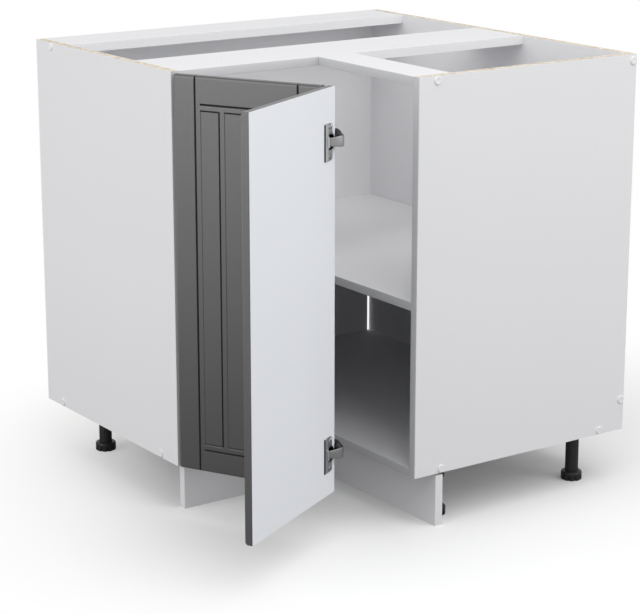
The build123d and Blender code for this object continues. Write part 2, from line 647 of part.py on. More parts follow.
def fold_arm(z):
    """Strap from the pin in the second door's cup, round its end, to the first door."""
    inner = FOLD_ARM_RADIUS
    outer = inner + FOLD_ARM
    sweep = math.radians(FOLD_ARM_SWEEP)
    lean = FOLD_ARM / 2
    start = math.degrees(math.asin(lean / outer))
    rim = CenterArc((0, 0), outer, -start, FOLD_ARM_SWEEP + start)
    core = CenterArc((0, 0), inner, -start, FOLD_ARM_SWEEP + start)
    bow = make_face([rim, core, Line(rim @ 0, core @ 0), Line(rim @ 1, core @ 1)])
    seat = PIN_FROM_EDGE + FOLD_PLATE_THICKNESS
    low, landing = fold_plate_span()
    mitre = FOLD_ARM * math.tan((sweep - math.pi / 2) / 2)
    tail = outline(
        [
            (inner * math.cos(sweep), inner * math.sin(sweep)),
            (landing, seat),
            (low, seat),
            (low, seat + FOLD_ARM),
            (landing - mitre, seat + FOLD_ARM),
            (outer * math.cos(sweep), outer * math.sin(sweep)),
        ]
    )
    half = FOLD_ARM_WIDTH / 2
    strap = Pos(0, 0, z - half) * extrude(bow, FOLD_ARM_WIDTH)
    strap += Pos(0, 0, z - half) * extrude(tail, FOLD_ARM_WIDTH)
    strap += block(FOLD_NECK, inner + lean, -lean, lean, z - half, z + half)
    half_neck = ARM_WIDTH / 2
    strap += block(0, FOLD_NECK, -lean, lean, z - half_neck, z + half_neck)
    strap += rod((0, 0, z - half_neck), TO_Z, EYE_RADIUS, ARM_WIDTH)
    return strap - eye_hole(z)


def fold_cover(z):
    """Cover that fills the strap's arc, clear of the second door's end as it turns."""
    sweep = FOLD_ARM_SWEEP - FOLD_COVER_START
    rim = CenterArc((0, 0), FOLD_ARM_RADIUS, FOLD_COVER_START, sweep)
    core = CenterArc((0, 0), FOLD_COVER_RADIUS, FOLD_COVER_START, sweep)
    sector = make_face([rim, core, Line(rim @ 0, core @ 0), Line(rim @ 1, core @ 1)])
    return Pos(0, 0, z - FOLD_COVER_WIDTH / 2) * extrude(sector, FOLD_COVER_WIDTH)


def build_carcass():
    """Everything that stands still, by node name."""
    boards = carcass_boards()
    capped = capped_screw_places()
    screws = capped + hidden_screw_places()
    legs = leg_places()
    leg_screws = [place for x, y in legs.values() for place in leg_screw_places(x, y)]
    at_pin_1 = Pos(PIN_1_X, PIN_1_Y, 0)
    plate_screws = [place for z in HUNG_HINGE_Z for place in hung_plate_screw_places(z)]

    frame_holes = [connecting_screw(place, DRILL_PLAY) for place in screws]
    dowel_holes = [dowel(place, DRILL_PLAY) for place in dowel_places()]
    nail_holes = [nail(place, DRILL_PLAY) for place in nail_places()]
    pin_holes = [shelf_pin(place, DRILL_PLAY) for place in shelf_pin_places()]
    top_holes = [rod(point, TO_Z, WORKTOP_HOLE_RADIUS, BOARD) for point in worktop_hole_places()]
    leg_holes = [leg_screw(place, DRILL_PLAY) for place in leg_screws]
    plate_holes = [at_pin_1 * hinge_screw(place, DRILL_PLAY) for place in plate_screws]
    drilled = {
        "left_side_panel": frame_holes + dowel_holes + nail_holes + pin_holes + plate_holes,
        "right_side_panel": frame_holes + pin_holes,
        "corner_side_panel": frame_holes + dowel_holes + nail_holes + pin_holes,
        "back_panel": nail_holes,
        "bottom_panel": frame_holes + nail_holes + leg_holes,
        "back_rail": frame_holes + dowel_holes + nail_holes + top_holes,
        "long_front_rail": frame_holes + dowel_holes + top_holes,
        "short_front_rail": frame_holes + dowel_holes,
    }
    nodes = {}
    for name, board in boards.items():
        near = board.bounding_box()
        holes = [hole for hole in drilled.get(name, []) if near.overlaps(hole.bounding_box())]
        nodes[name] = [board - holes if holes else board]

    nodes["edge_bands"] = edge_bands()
    nodes["connecting_screws"] = [connecting_screw(place) for place in screws]
    nodes["screw_caps"] = [dome(point, -into, CAP_RADIUS, CAP_RISE) for point, into in capped]
    nodes["rail_dowels"] = [dowel(place) for place in dowel_places()]
    nodes["back_panel_nails"] = [nail(place) for place in nail_places()]
    nodes["shelf_pins"] = [shelf_pin(place) for place in shelf_pin_places()]
    left, right = plinths()
    nodes["left_plinth"] = [left]
    nodes["right_plinth"] = [right]
    clip = plinth_clip()
    x, y = legs["left_front"]
    nodes["left_plinth_clip"] = [Pos(x, y, 0) * clip]
    x, y = legs["right_front"]
    nodes["right_plinth_clip"] = [Pos(x, y, 0) * Rot(0, 0, -90) * clip]
    nodes["leg_sockets"] = [leg_socket(x, y) for x, y in legs.values()]
    nodes["leg_screws"] = [leg_screw(place) for place in leg_screws]
    for name, (x, y) in legs.items():
        nodes[name + "_leg_column"] = [leg_column(x, y)]
        nodes[name + "_foot"] = [foot(x, y)]
    for side, z in zip(("lower", "upper"), HUNG_HINGE_Z):
        nodes[side + "_door_hinge_plate"] = [at_pin_1 * hung_plate(z)]
        nodes[side + "_door_hinge_arm"] = [at_pin_1 * hung_arm(z)]
    nodes["hinge_plate_screws"] = [at_pin_1 * hinge_screw(place) for place in plate_screws]
    return nodes


def build_doors():
    """The two doors and what rides on them, closed, by node name."""
    at_pin_1 = Pos(PIN_1_X, PIN_1_Y, 0)
    at_pin_2 = Pos(PIN_2_X, PIN_2_Y, 0)
    on_door_2 = at_pin_2 * Rot(0, 0, -90)
    hung_screws = [place for z in HUNG_HINGE_Z for place in cup_screw_places(z)]
    fold_screws = [place for z in FOLD_HINGE_Z for place in cup_screw_places(z)]
    arm_screws = [place for z in FOLD_HINGE_Z for place in fold_plate_screw_places(z)]

    board_1, lining_1 = door_leaf(DOOR_1_WIDTH, HUNG_HINGE_Z)
    holes_1 = [at_pin_1 * hinge_screw(place, DRILL_PLAY) for place in hung_screws]
    holes_1 += [at_pin_2 * hinge_screw(place, DRILL_PLAY) for place in arm_screws]
    board_2, lining_2 = door_leaf(DOOR_2_WIDTH, FOLD_HINGE_Z)
    holes_2 = [on_door_2 * hinge_screw(place, DRILL_PLAY) for place in fold_screws]
    nodes = {
        "first_door": [at_pin_1 * board_1 - holes_1],
        "first_door_lining": [at_pin_1 * lining_1 - holes_1],
        "second_door": [on_door_2 * board_2 - holes_2],
        "second_door_lining": [on_door_2 * lining_2 - holes_2],
        "door_hinge_pins": [at_pin_1 * hinge_pin(z) for z in HUNG_HINGE_Z],
        "door_cup_screws": [at_pin_1 * hinge_screw(place) for place in hung_screws],
        "fold_hinge_pins": [on_door_2 * hinge_pin(z) for z in FOLD_HINGE_Z],
        "fold_cup_screws": [on_door_2 * hinge_screw(place) for place in fold_screws],
        "fold_plate_screws": [at_pin_2 * hinge_screw(place) for place in arm_screws],
    }
    for side, z in zip(("lower", "upper"), HUNG_HINGE_Z):
        nodes[side + "_door_hinge_cup"] = [at_pin_1 * hinge_cup(z)]
    for side, z in zip(("lower", "upper"), FOLD_HINGE_Z):
        nodes[side + "_fold_hinge_cup"] = [on_door_2 * hinge_cup(z)]
        nodes[side + "_fold_hinge_plate"] = [at_pin_2 * fold_plate(z)]
        nodes[side + "_fold_hinge_arm"] = [at_pin_2 * fold_arm(z)]
        nodes[side + "_fold_hinge_cover"] = [at_pin_2 * fold_cover(z)]
    return nodes


def main():
    swing = Pos(PIN_1_X, PIN_1_Y, 0) * Rot(0, 0, -REST_OPENING) * Pos(-PIN_1_X, -PIN_1_Y, 0)
    nodes = build_carcass()
    for name, solids in build_doors().items():
        nodes[name] = [swing * solid for solid in solids]
    os.makedirs("parts", exist_ok=True)
    for name, solids in nodes.items():
        shape = solids[0] if len(solids) == 1 else Compound(children=solids)
        export_step(shape, "parts/" + name + ".step")


main()
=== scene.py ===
import json
import math

import bpy
import numpy as np
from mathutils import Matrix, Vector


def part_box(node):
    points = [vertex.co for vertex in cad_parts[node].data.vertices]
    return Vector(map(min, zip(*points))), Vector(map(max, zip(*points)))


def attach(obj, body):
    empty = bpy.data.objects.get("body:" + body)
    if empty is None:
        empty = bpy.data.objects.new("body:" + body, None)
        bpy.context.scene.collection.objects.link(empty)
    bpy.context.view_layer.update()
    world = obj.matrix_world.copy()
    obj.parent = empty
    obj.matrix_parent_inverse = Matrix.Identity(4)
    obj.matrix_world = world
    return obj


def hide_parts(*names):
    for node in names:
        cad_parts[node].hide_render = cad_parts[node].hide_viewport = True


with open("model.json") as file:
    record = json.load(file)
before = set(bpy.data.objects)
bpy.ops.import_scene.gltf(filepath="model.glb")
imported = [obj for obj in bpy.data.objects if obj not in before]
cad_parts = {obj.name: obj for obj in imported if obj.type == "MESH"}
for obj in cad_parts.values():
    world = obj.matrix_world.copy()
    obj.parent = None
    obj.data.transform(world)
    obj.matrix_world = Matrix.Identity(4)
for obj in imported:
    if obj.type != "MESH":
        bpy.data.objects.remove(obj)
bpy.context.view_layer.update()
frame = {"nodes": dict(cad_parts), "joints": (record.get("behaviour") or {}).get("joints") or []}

# Corner base cabinet: white boards, black legs and a folding pair of dark panelled doors.
# Metres. +X runs towards the side wall, +Y towards the back wall, +Z up.


def middle(node):
    """Middle of a CAD piece's box, to a thousandth of a millimetre."""
    low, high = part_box(node)
    return np.round((np.array(low) + np.array(high)) / 2, 6)


# Doors. s runs along a door from its hinge pin, n towards its inner face, z up.
OPENING = math.radians(62.0)
DOOR_WIDTHS = {"first_door": 0.286, "second_door": 0.295}
DOOR_LOW = 0.101
DOOR_HIGH = 0.817
HINGE_EDGE = -0.0062
DOOR_FRONT = -0.008
DOOR_ARRIS = 0.0042
LINING_BACK = 0.0074
POCKET_RIM = 0.0029
POCKET_FLOOR = -0.0042
STILE = 0.043
BEAD = 0.0105
RAIL_GROOVE_LOW = DOOR_LOW + 0.041
RAIL_GROOVE_HIGH = DOOR_HIGH - 0.049
RAIL_GROOVE_END = 0.0006
GROOVE_WIDTH = 0.0042
GROOVE_DEPTH = 0.0034
PLANKS = 4
PLANK_FOOT = RAIL_GROOVE_LOW + BEAD
PLANK_HEAD = RAIL_GROOVE_HIGH - BEAD
PLANK_RECESS = 0.0008
PLANK_SLOPE = 0.0012
PLANK_END_INSET = 0.0008
PLANK_FOOT_GROOVE = (0.0030, 0.0022)
PLANK_HEAD_GROOVE = (0.0034, 0.0030)

# Spacing of the doors' grid lines
FINE_STEP = 0.0004
FINE_ENDS = 0.0046
FINE_REACH = 0.0024
WIDE_LINES = 24

# Painted shade: the depths between which it darkens a door's grooves and a cup's hollow, and how dark it
# makes them
DEPTH_MARK = "groove_depth"
GROOVE_PAINTED_SHADE_DEPTHS = (0.0010, 0.0024)
GROOVE_PAINTED_SHADE_TONE = 0.25
CUP_PAINTED_SHADE_DEPTHS = (0.0005, 0.0030)
CUP_PAINTED_SHADE_TONE = 0.03

# Places of the hinges and their screws
LEVELS = ("lower", "upper")
HUNG_HINGE_Z = [middle(level + "_door_hinge_cup")[2] for level in LEVELS]
FOLD_HINGE_Z = [middle(level + "_fold_hinge_cup")[2] for level in LEVELS]
CUP_CENTRE = 0.0143
FLANGE_TOP = 0.0092
CUP_SCREW_REACH = 0.025
PLATE_SCREW_REACH = 0.016
PLATE_SCREW_BACK = 0.038
PLATE_THICKNESS = 0.004
FOLD_SCREW_S = 0.25054
FOLD_SCREW_N = 0.011
FOLD_SCREW_REACH = 0.018
HINGE_SCREW_HEAD = (0.0036, 0.0016)
PLATE_SCREW_TURNS = (0.3, 1.1, 0.7, 0.2)
DOOR_SCREW_TURNS = (0.6, 0.9, 0.4, 1.2)

# Folding hinges' cups. A rounded rectangle is its middle, two half sizes and a corner radius.
CUP_ALONG = (-0.0056, 0.0334, 118)
CUP_UP = (-0.0345, 0.0345, 182)
CUP_BED = 0.0078
CUP_BASE = -0.0046
CUP_FLOOR = -0.0036
CUP_PLATE = (0.0178, 0.0133, 0.0325, 0.005)
CUP_PLATE_RISE = 0.0017
CUP_RIM_RADIUS = 0.0178
CUP_BEVEL = 0.0013
CUP_FALL = 0.0008
CUP_FALL_RUN = (0.019, 0.012)
CUP_HOLE_RADIUS = 0.0044
CUP_HOLE_DEPTH = 0.0009
CUP_HOLE_BEVEL = 0.0004
HOOK_RADIUS = 0.0022
HOOK_RUN = 0.010
HOOK_REACH = 0.005
CUP_LIP = (0.0209, 0.0019, 0.0098, 0.0012)
CUP_LIP_RISE = 0.0030
CUP_LIP_BEVEL = 0.0012
CUP_MOUTH = (0.0090, 0.0100, 0.0130, 0.001)
CUP_MOUTH_BEVEL = 0.0003
CUP_BORE = 0.0160
# Black strip along the cup plate's far side, put there as painted shade
CUP_EDGE_S = 0.0316
CUP_EDGE_HALF = 0.0016
CUP_EDGE_RISE = 0.0014
CUP_EDGE_SINK = 0.0006
CUP_EDGE_REACH = 0.0315

# Folding hinges' straps and covers about the pin, as n and -s. Turns are in degrees.
STRAP_RADIUS = 0.0244
STRAP_TURN = (22.0, 130.0)
STRAP_THICKNESS = 0.0022
STRAP_ARRIS = 0.0007
STRAP_HALF_WIDTH = 0.0095
STRAP_TIP = (0.0098, -0.0145)
STRAP_TIP_PULL = (0.0150, -0.0105)
STRAP_TIP_HALF = 0.0070
STRAP_WIDENING = 0.75
STRAP_LEAD = 0.007
STRAP_LEAVE = 0.0065
STRAP_BEND_PULL = (-0.024, 0.0103)
STRAP_BEND_END = (-0.029, 0.0103)
STRAP_FOOT_END = (-0.0565, 0.0103)
WEB_LOW = (0.0, -0.0008)
WEB_HIGH = (0.0205, -0.0008)
WEB_HALF = 0.0042
# The cover is black as painted shade inside the strap's arc
COVER_TURN = (8.0, 130.0)
COVER_CROWN = 82.0
COVER_CROWN_SPAN = 74.5
COVER_RADII = np.array([0.0116, 0.0224])
COVER_HALF_WIDTH = 0.008
COVER_RISE = 0.0105

# Legs
LEGS = ("corner", "left_rear", "left_front", "right_front", "right_rear")
COLUMN_SIDES = 128
COLUMN_RADIUS = 0.0125
COLUMN_BORE = 0.0073
COLUMN_CHAMFER = 0.0008
COLUMN_RIBS = 16
COLUMN_RIB = 0.0005
FOOT_SIDES = 160
FOOT_RADIUS = 0.020
FOOT_HEIGHT = 0.0165
FOOT_CHAMFER = 0.0008
FOOT_SHOULDER = 0.003
FOOT_FLOOR = 0.003
FOOT_SOCKET = 0.0128
FOOT_NOTCHES = 10
NOTCH_DEPTH = 0.0022
NOTCH_TOP = 0.010
NOTCH_FADE = 0.0015
NOTCH_FLANK = 4.0
NOTCH_GAP = 0.55
STEM_RADIUS = 0.007
STEM_TOP = 0.053
LEG_SCREW_CIRCLE = 0.021
LEG_SCREW_ANGLES = np.radians((-90, 30, 150))
LEG_SCREW_HEAD = (0.0035, 0.0018)
LEG_SCREW_TURN = 0.7

# Edge bands, caps and screw heads. The lines and the cross of a head are shares of its radius.
BOARD = 0.016
EDGE_BAND = 0.0008
BAND_ARRIS = 0.0007
SHELF_SETBACK = 0.002
CAP_SIDES = 48
CAP_RADIUS = 0.0076
CAP_RISE = 0.0024
CAP_SHOULDER = 0.0014
CAP_DIP = 0.0005
SCREW_INSET = 0.060
SCREW_FROM_TOP = 0.012
HEAD_LINES = np.array([0.0, 0.07, 0.13, 0.17, 0.3, 0.45, 0.58, 0.63, 0.75, 0.87, 0.95, 1.0])
CROSS_HALF_WIDTH = (0.13, 0.04)
CROSS_REACH = (0.58, 0.05)
CROSS_DEPTH = 0.55
SHARP_ANGLE = math.radians(35.0)

# Finishes. A face counts as turned along an axis when its normal's share is over FACE_SHARE.
FACE_SHARE = 0.5
BOARD_SKIN = 0.0004
CORE_SPAN = 0.62
CORE_SHARE = 0.85
SKIN_RELIEF = 0.0003
DRAWN_RELIEF = 0.0001

# Floor, light and the camera as the photograph is framed. A lamp has a place, target, size and power.
FLOOR_HALF = 9.0
FLOOR_LINES = 37
FLOOR_TONE = 0.91
FLOOR_BOUNCE = 0.36
FLOOR_SPOT = (-0.15, -0.50, 0.0)
FLOOR_FADE = {"From Min": 0.42, "From Max": 1.12, "To Min": 0.05}
MIRRORED_FADE = {"From Min": 1.10, "From Max": 2.9}
PURE_WHITE = (1.0, 1.0, 1.0)
SURROUNDINGS = 0.62
LAMPS = (
    ("lamp_above", (-0.3, -2.2, 3.2), (-0.2, -0.3, 0.5), 3.2, 57.0),
    ("lamp_right", (2.3, -4.2, 1.8), (-0.2, -0.6, 0.5), 2.4, 34.0),
    ("lamp_left", (-4.3, -0.2, 1.75), (-0.7, -0.3, 0.5), 3.4, 65.0),
)
FRAME_WIDTH = 640
SENSOR_WIDTH = 36.0
CAMERA_PLACE = (-2.5833, -3.5307, 1.3713)
CAMERA_YAW = math.radians(34.865)
CAMERA_PITCH = math.radians(15.063)
CAMERA_FOCUS = 2103.9


def settle(node, settings):
    """Values of a node's named sockets."""
    for name, value in settings.items():
        node.inputs[name].default_value = value


def put(tree, kind, settings=None, **attributes):
    """One shader node of a kind, with its attributes and the values of its named sockets."""
    node = tree.nodes.new("ShaderNode" + kind)
    for name, value in attributes.items():
        setattr(node, name, value)
    settle(node, settings or {})
    return node


def wire(tree, source, target):
    """Link from an output socket to an input socket."""
    tree.links.new(source, target)


def on_object(tree, *textures):
    """The object's own coordinates into each texture."""
    place = put(tree, "TexCoord")
    for texture in textures:
        wire(tree, place.outputs["Object"], texture.inputs["Vector"])


def along_axis(tree, kind, axis):
    """One axis of the object's own coordinates or normals; its output socket."""
    place = put(tree, "TexCoord")
    split = put(tree, "SeparateXYZ")
    wire(tree, place.outputs[kind], split.inputs[0])
    return split.outputs[axis]


def feed(tree, values, sockets):
    """Each value to its socket: numbers and tuples are set, and other sockets are linked."""
    for value, socket in zip(values, sockets):
        if isinstance(value, (int, float, tuple)):
            socket.default_value = value
        else:
            wire(tree, value, socket)


def maths(tree, operation, *values):
    """Math node on one or two sockets or numbers; its output socket."""
    node = put(tree, "Math", operation=operation)
    feed(tree, values, node.inputs)
    return node.outputs[0]


def opaque(colour, shade=1.0):
    """Colour times a shade, with a full alpha."""
    return tuple(shade * value for value in colour) + (1.0,)


def blend_colours(tree, factor, first, second, blend="MIX"):
    """Mix node on two colours, each a socket or a tuple; its output socket."""
    node = put(tree, "Mix", data_type="RGBA", blend_type=blend)
    feed(tree, (factor, first, second), (node.inputs[0], node.inputs[6], node.inputs[7]))
    return node.outputs[2]


def mix_shaders(tree, factor, first, second):
    """Mix of two shaders by a factor socket; its output socket."""
    node = put(tree, "MixShader")
    feed(tree, (factor, first, second), node.inputs)
    return node.outputs[0]


def smooth_range(tree, value, steps):
    """Value socket carried smoothly between the steps given; its output socket."""
    node = put(tree, "MapRange", steps, interpolation_type="SMOOTHSTEP")
    wire(tree, value, node.inputs["Value"])
    return node.outputs[0]


def colour_ramp(tree, value, stops):
    """Colour ramp over a value socket from (position, colour) stops; its output socket."""
    ramp = put(tree, "ValToRGB")
    elements = ramp.color_ramp.elements
    elements.remove(elements[1])
    elements[0].position = stops[0][0]
    elements[0].color = opaque(stops[0][1])
    for position, colour in stops[1:]:
        elements.new(position).color = opaque(colour)
    wire(tree, value, ramp.inputs[0])
    return ramp.outputs[0]


def new_group(name, inputs, outputs):
    """Empty node group with named value and colour sockets."""
    group = bpy.data.node_groups.new(name, "ShaderNodeTree")
    for label, default in inputs.items():
        kind = "NodeSocketColor" if isinstance(default, tuple) else "NodeSocketFloat"
        group.interface.new_socket(label, in_out="INPUT", socket_type=kind).default_value = default
    for label, kind in outputs.items():
        group.interface.new_socket(label, in_out="OUTPUT", socket_type="NodeSocket" + kind)
    return group, group.nodes.new("NodeGroupInput"), group.nodes.new("NodeGroupOutput")


def drift_group():
    """Slow changes over a surface: its tone and its gloss wander by a few percent."""
    inputs = {"Color": (0.8, 0.8, 0.8, 1.0), "Tone": 0.03, "Roughness": 0.4, "Gloss": 0.08, "Scale": 6.0}
    group, given, result = new_group("surface_drift", inputs, {"Color": "Color", "Roughness": "Float"})
    broad = put(group, "TexNoise", {"Detail": 3.0, "Roughness": 0.55})
    on_object(group, broad)
    wire(group, given.outputs["Scale"], broad.inputs["Scale"])
    swing = maths(group, "SUBTRACT", broad.outputs["Fac"], 0.5)
    tone = maths(group, "ADD", maths(group, "MULTIPLY", swing, given.outputs["Tone"]), 1.0)
    tint = put(group, "CombineColor")
    for socket in tint.inputs:
        wire(group, tone, socket)
    colour = blend_colours(group, 1.0, given.outputs["Color"], tint.outputs[0], "MULTIPLY")
    gloss = maths(group, "MULTIPLY", swing, given.outputs["Gloss"])
    wire(group, colour, result.inputs["Color"])
    wire(group, maths(group, "ADD", given.outputs["Roughness"], gloss), result.inputs["Roughness"])
    return group


def peel_group():
    """Fine relief of a pressed or moulded skin: two sizes of noise added."""
    group, given, result = new_group("fine_peel", {"Scale": 900.0, "Pores": 0.4}, {"Height": "Float"})
    coarse = put(group, "TexNoise", {"Detail": 2.0})
    fine = put(group, "TexNoise", {"Detail": 1.0})
    on_object(group, coarse, fine)
    wire(group, given.outputs["Scale"], coarse.inputs["Scale"])
    wire(group, maths(group, "MULTIPLY", given.outputs["Scale"], 3.7), fine.inputs["Scale"])
    pores = maths(group, "MULTIPLY", fine.outputs["Fac"], given.outputs["Pores"])
    wire(group, maths(group, "ADD", coarse.outputs["Fac"], pores), result.inputs["Height"])
    return group


def chipboard_group():
    """Cut edge of chipboard: flakes in the middle, fine dust near the two faces, and pale and
    dark runs along the cut."""
    group, given, result = new_group("chipboard_edge", {"Depth": 0.5}, {"Color": "Color"})
    flakes = put(group, "TexVoronoi", {"Scale": 260.0, "Randomness": 1.0})
    dust = put(group, "TexNoise", {"Scale": 1300.0, "Detail": 3.0})
    runs = put(group, "TexNoise", {"Scale": 75.0, "Detail": 4.0, "Roughness": 0.7})
    on_object(group, flakes, dust, runs)
    chip = put(group, "SeparateColor")
    wire(group, flakes.outputs["Color"], chip.inputs[0])
    flake_stops = [
        (0.0, (0.34, 0.26, 0.19)),
        (0.14, (0.58, 0.49, 0.38)),
        (0.5, (0.74, 0.68, 0.58)),
        (1.0, (0.85, 0.81, 0.74)),
    ]
    dust_stops = [(0.3, (0.56, 0.48, 0.39)), (0.6, (0.82, 0.78, 0.70))]
    run_stops = [(0.34, (0.66, 0.55, 0.44)), (0.46, (0.95, 0.92, 0.87)), (0.62, (1.0, 1.0, 0.99))]
    flake = colour_ramp(group, chip.outputs[0], flake_stops)
    dusty = colour_ramp(group, dust.outputs["Fac"], dust_stops)
    run = colour_ramp(group, runs.outputs["Fac"], run_stops)
    offset = maths(group, "SUBTRACT", maths(group, "MULTIPLY", given.outputs["Depth"], 2.0), 1.0)
    inner = maths(group, "LESS_THAN", maths(group, "ABSOLUTE", offset), CORE_SPAN)
    mixed = blend_colours(group, maths(group, "MULTIPLY", inner, CORE_SHARE), dusty, flake)
    wire(group, blend_colours(group, 1.0, mixed, run, "MULTIPLY"), result.inputs["Color"])
    return group


def drawn_group():
    """Drawn metal: noise stretched along the height, as gloss and as fine lines."""
    outputs = {"Height": "Float", "Roughness": "Float"}
    group, given, result = new_group("drawn_metal", {"Roughness": 0.3, "Gloss": 0.15}, outputs)
    stretch = put(group, "Mapping", {"Scale": (2600.0, 2600.0, 90.0)})
    on_object(group, stretch)
    lines = put(group, "TexNoise", {"Scale": 1.0, "Detail": 2.0})
    wire(group, stretch.outputs[0], lines.inputs["Vector"])
    swing = maths(group, "SUBTRACT", lines.outputs["Fac"], 0.5)
    gloss = maths(group, "MULTIPLY", swing, given.outputs["Gloss"])
    wire(group, maths(group, "ADD", gloss, given.outputs["Roughness"]), result.inputs["Roughness"])
    wire(group, lines.outputs["Fac"], result.inputs["Height"])
    return group


DRIFT = drift_group()
PEEL = peel_group()
CHIPBOARD = chipboard_group()
DRAWN = drawn_group()


def new_material(name):
    """Empty material with its shader; returns the material, its tree and the shader node."""
    material = bpy.data.materials.new(name)
    material.use_nodes = True
    tree = material.node_tree
    return material, tree, tree.nodes["Principled BSDF"]


def add_relief(tree, shader, height, strength, distance):
    """Bump from a height socket into the shader's normal."""
    bump = put(tree, "Bump", {"Strength": strength, "Distance": distance})
    wire(tree, height, bump.inputs["Height"])
    wire(tree, bump.outputs[0], shader.inputs["Normal"])


def depth_mask(tree, start, full):
    """0 where a surface is marked less deep than start, 1 where deeper than full; its output socket."""
    mark = put(tree, "Attribute", attribute_name=DEPTH_MARK)
    return smooth_range(tree, mark.outputs["Fac"], {"From Min": start, "From Max": full})


def skin_material(name, colour, roughness, tone=0.03, drift=6.0, peel=900.0, pores=0.4, relief=0.1):
    """Even coloured skin with slow drift and a fine relief."""
    material, tree, shader = new_material(name)
    settings = {"Color": opaque(colour), "Tone": tone, "Roughness": roughness, "Scale": drift}
    slow = put(tree, "Group", settings, node_tree=DRIFT)
    wire(tree, slow.outputs["Color"], shader.inputs["Base Color"])
    wire(tree, slow.outputs["Roughness"], shader.inputs["Roughness"])
    fine = put(tree, "Group", {"Scale": peel, "Pores": pores}, node_tree=PEEL)
    add_relief(tree, shader, fine.outputs["Height"], relief, SKIN_RELIEF)
    return material, tree, shader, slow


def cover_skin(tree, shader, slow, mask, colour, rougher):
    """Another colour, rougher by some, over a skin where a mask socket says so."""
    wire(tree, blend_colours(tree, mask, slow.outputs["Color"], colour), shader.inputs["Base Color"])
    rough = maths(tree, "ADD", slow.outputs["Roughness"], maths(tree, "MULTIPLY", mask, rougher))
    wire(tree, rough, shader.inputs["Roughness"])


def board_material(name, colour, node, axis):
    """White-faced chipboard: the cut edges, square to the board's faces, show the core."""
    material, tree, shader, slow = skin_material(name, colour, 0.55, tone=0.02, drift=4.0)
    low, high = (corner[axis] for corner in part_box(node))
    turn = maths(tree, "ABSOLUTE", along_axis(tree, "Normal", axis))
    depth = maths(tree, "SUBTRACT", along_axis(tree, "Object", axis), low)
    depth = maths(tree, "DIVIDE", depth, high - low)
    skin = BOARD_SKIN / (high - low)
    over = maths(tree, "GREATER_THAN", depth, skin)
    inside = maths(tree, "MULTIPLY", over, maths(tree, "LESS_THAN", depth, 1 - skin))
    mask = maths(tree, "MULTIPLY", maths(tree, "LESS_THAN", turn, FACE_SHARE), inside)
    core = put(tree, "Group", node_tree=CHIPBOARD)
    wire(tree, depth, core.inputs["Depth"])
    cover_skin(tree, shader, slow, mask, core.outputs["Color"], 0.4)
    return material


def hardboard_material(name, colour):
    """Thin back board: a white coat inside and bare brown fibres on the wall side."""
    material, tree, shader, slow = skin_material(name, colour, 0.45, tone=0.02, drift=4.0)
    bare = maths(tree, "GREATER_THAN", along_axis(tree, "Normal", "Y"), FACE_SHARE)
    fibres = put(tree, "TexNoise", {"Scale": 700.0, "Detail": 5.0, "Roughness": 0.7})
    on_object(tree, fibres)
    stops = [(0.3, (0.1944, 0.1224, 0.072)), (0.7, (0.324, 0.204, 0.12))]
    cover_skin(tree, shader, slow, bare, colour_ramp(tree, fibres.outputs["Fac"], stops), 0.3)
    return material


def foil_material(name, colour, roughness):
    """Satin foil over a door's front: down in the grooves its colour is darkened as painted shade, and it is
    duller there.
    """
    looks = {"tone": 0.10, "drift": 9.0, "peel": 2200.0, "pores": 0.8, "relief": 0.2}
    material, tree, shader, slow = skin_material(name, colour, roughness, **looks)
    settle(shader, {"Specular IOR Level": 1.0, "Coat Roughness": 0.22})
    # Painted shade: the colour darkens down in the grooves, where shade falls
    deep = depth_mask(tree, *GROOVE_PAINTED_SHADE_DEPTHS)
    surface_colour = blend_colours(tree, deep, slow.outputs["Color"], opaque(colour, GROOVE_PAINTED_SHADE_TONE))
    wire(tree, surface_colour, shader.inputs["Base Color"])
    rough = maths(tree, "MAXIMUM", slow.outputs["Roughness"], maths(tree, "MULTIPLY", deep, 0.95))
    wire(tree, rough, shader.inputs["Roughness"])
    coat = maths(tree, "MULTIPLY", maths(tree, "SUBTRACT", 1.0, deep), 0.4)
    wire(tree, coat, shader.inputs["Coat Weight"])
    return material


def metal_material(name, colour, roughness, hollow=None):
    """Plated steel with fine drawing lines; between the two depths of a hollow its colour is darkened as
    painted shade.
    """
    material, tree, shader = new_material(name)
    settle(shader, {"Metallic": 1.0})
    settings = {"Color": opaque(colour), "Tone": 0.12, "Scale": 40.0}
    slow = put(tree, "Group", settings, node_tree=DRIFT)
    surface_colour = slow.outputs["Color"]
    if hollow:
        # Painted shade: the colour goes nearly black down in the hollow
        surface_colour = blend_colours(tree, depth_mask(tree, *hollow), surface_colour, opaque(colour, CUP_PAINTED_SHADE_TONE))
    wire(tree, surface_colour, shader.inputs["Base Color"])
    lines = put(tree, "Group", {"Roughness": roughness}, node_tree=DRAWN)
    wire(tree, lines.outputs["Roughness"], shader.inputs["Roughness"])
    add_relief(tree, shader, lines.outputs["Height"], 0.12, DRAWN_RELIEF)
    return material


def beech_material(name):
    """Bare beech: noise drawn out into short lighter and darker flecks."""
    material, tree, shader = new_material(name)
    flecks = put(tree, "TexNoise", {"Scale": 500.0, "Detail": 4.0, "Distortion": 0.6})
    on_object(tree, flecks)
    stops = [(0.0, (0.46, 0.30, 0.17)), (1.0, (0.66, 0.48, 0.30))]
    wire(tree, colour_ramp(tree, flecks.outputs["Fac"], stops), shader.inputs["Base Color"])
    settle(shader, {"Roughness": 0.7})
    add_relief(tree, shader, flecks.outputs["Fac"], 0.2, SKIN_RELIEF)
    return material


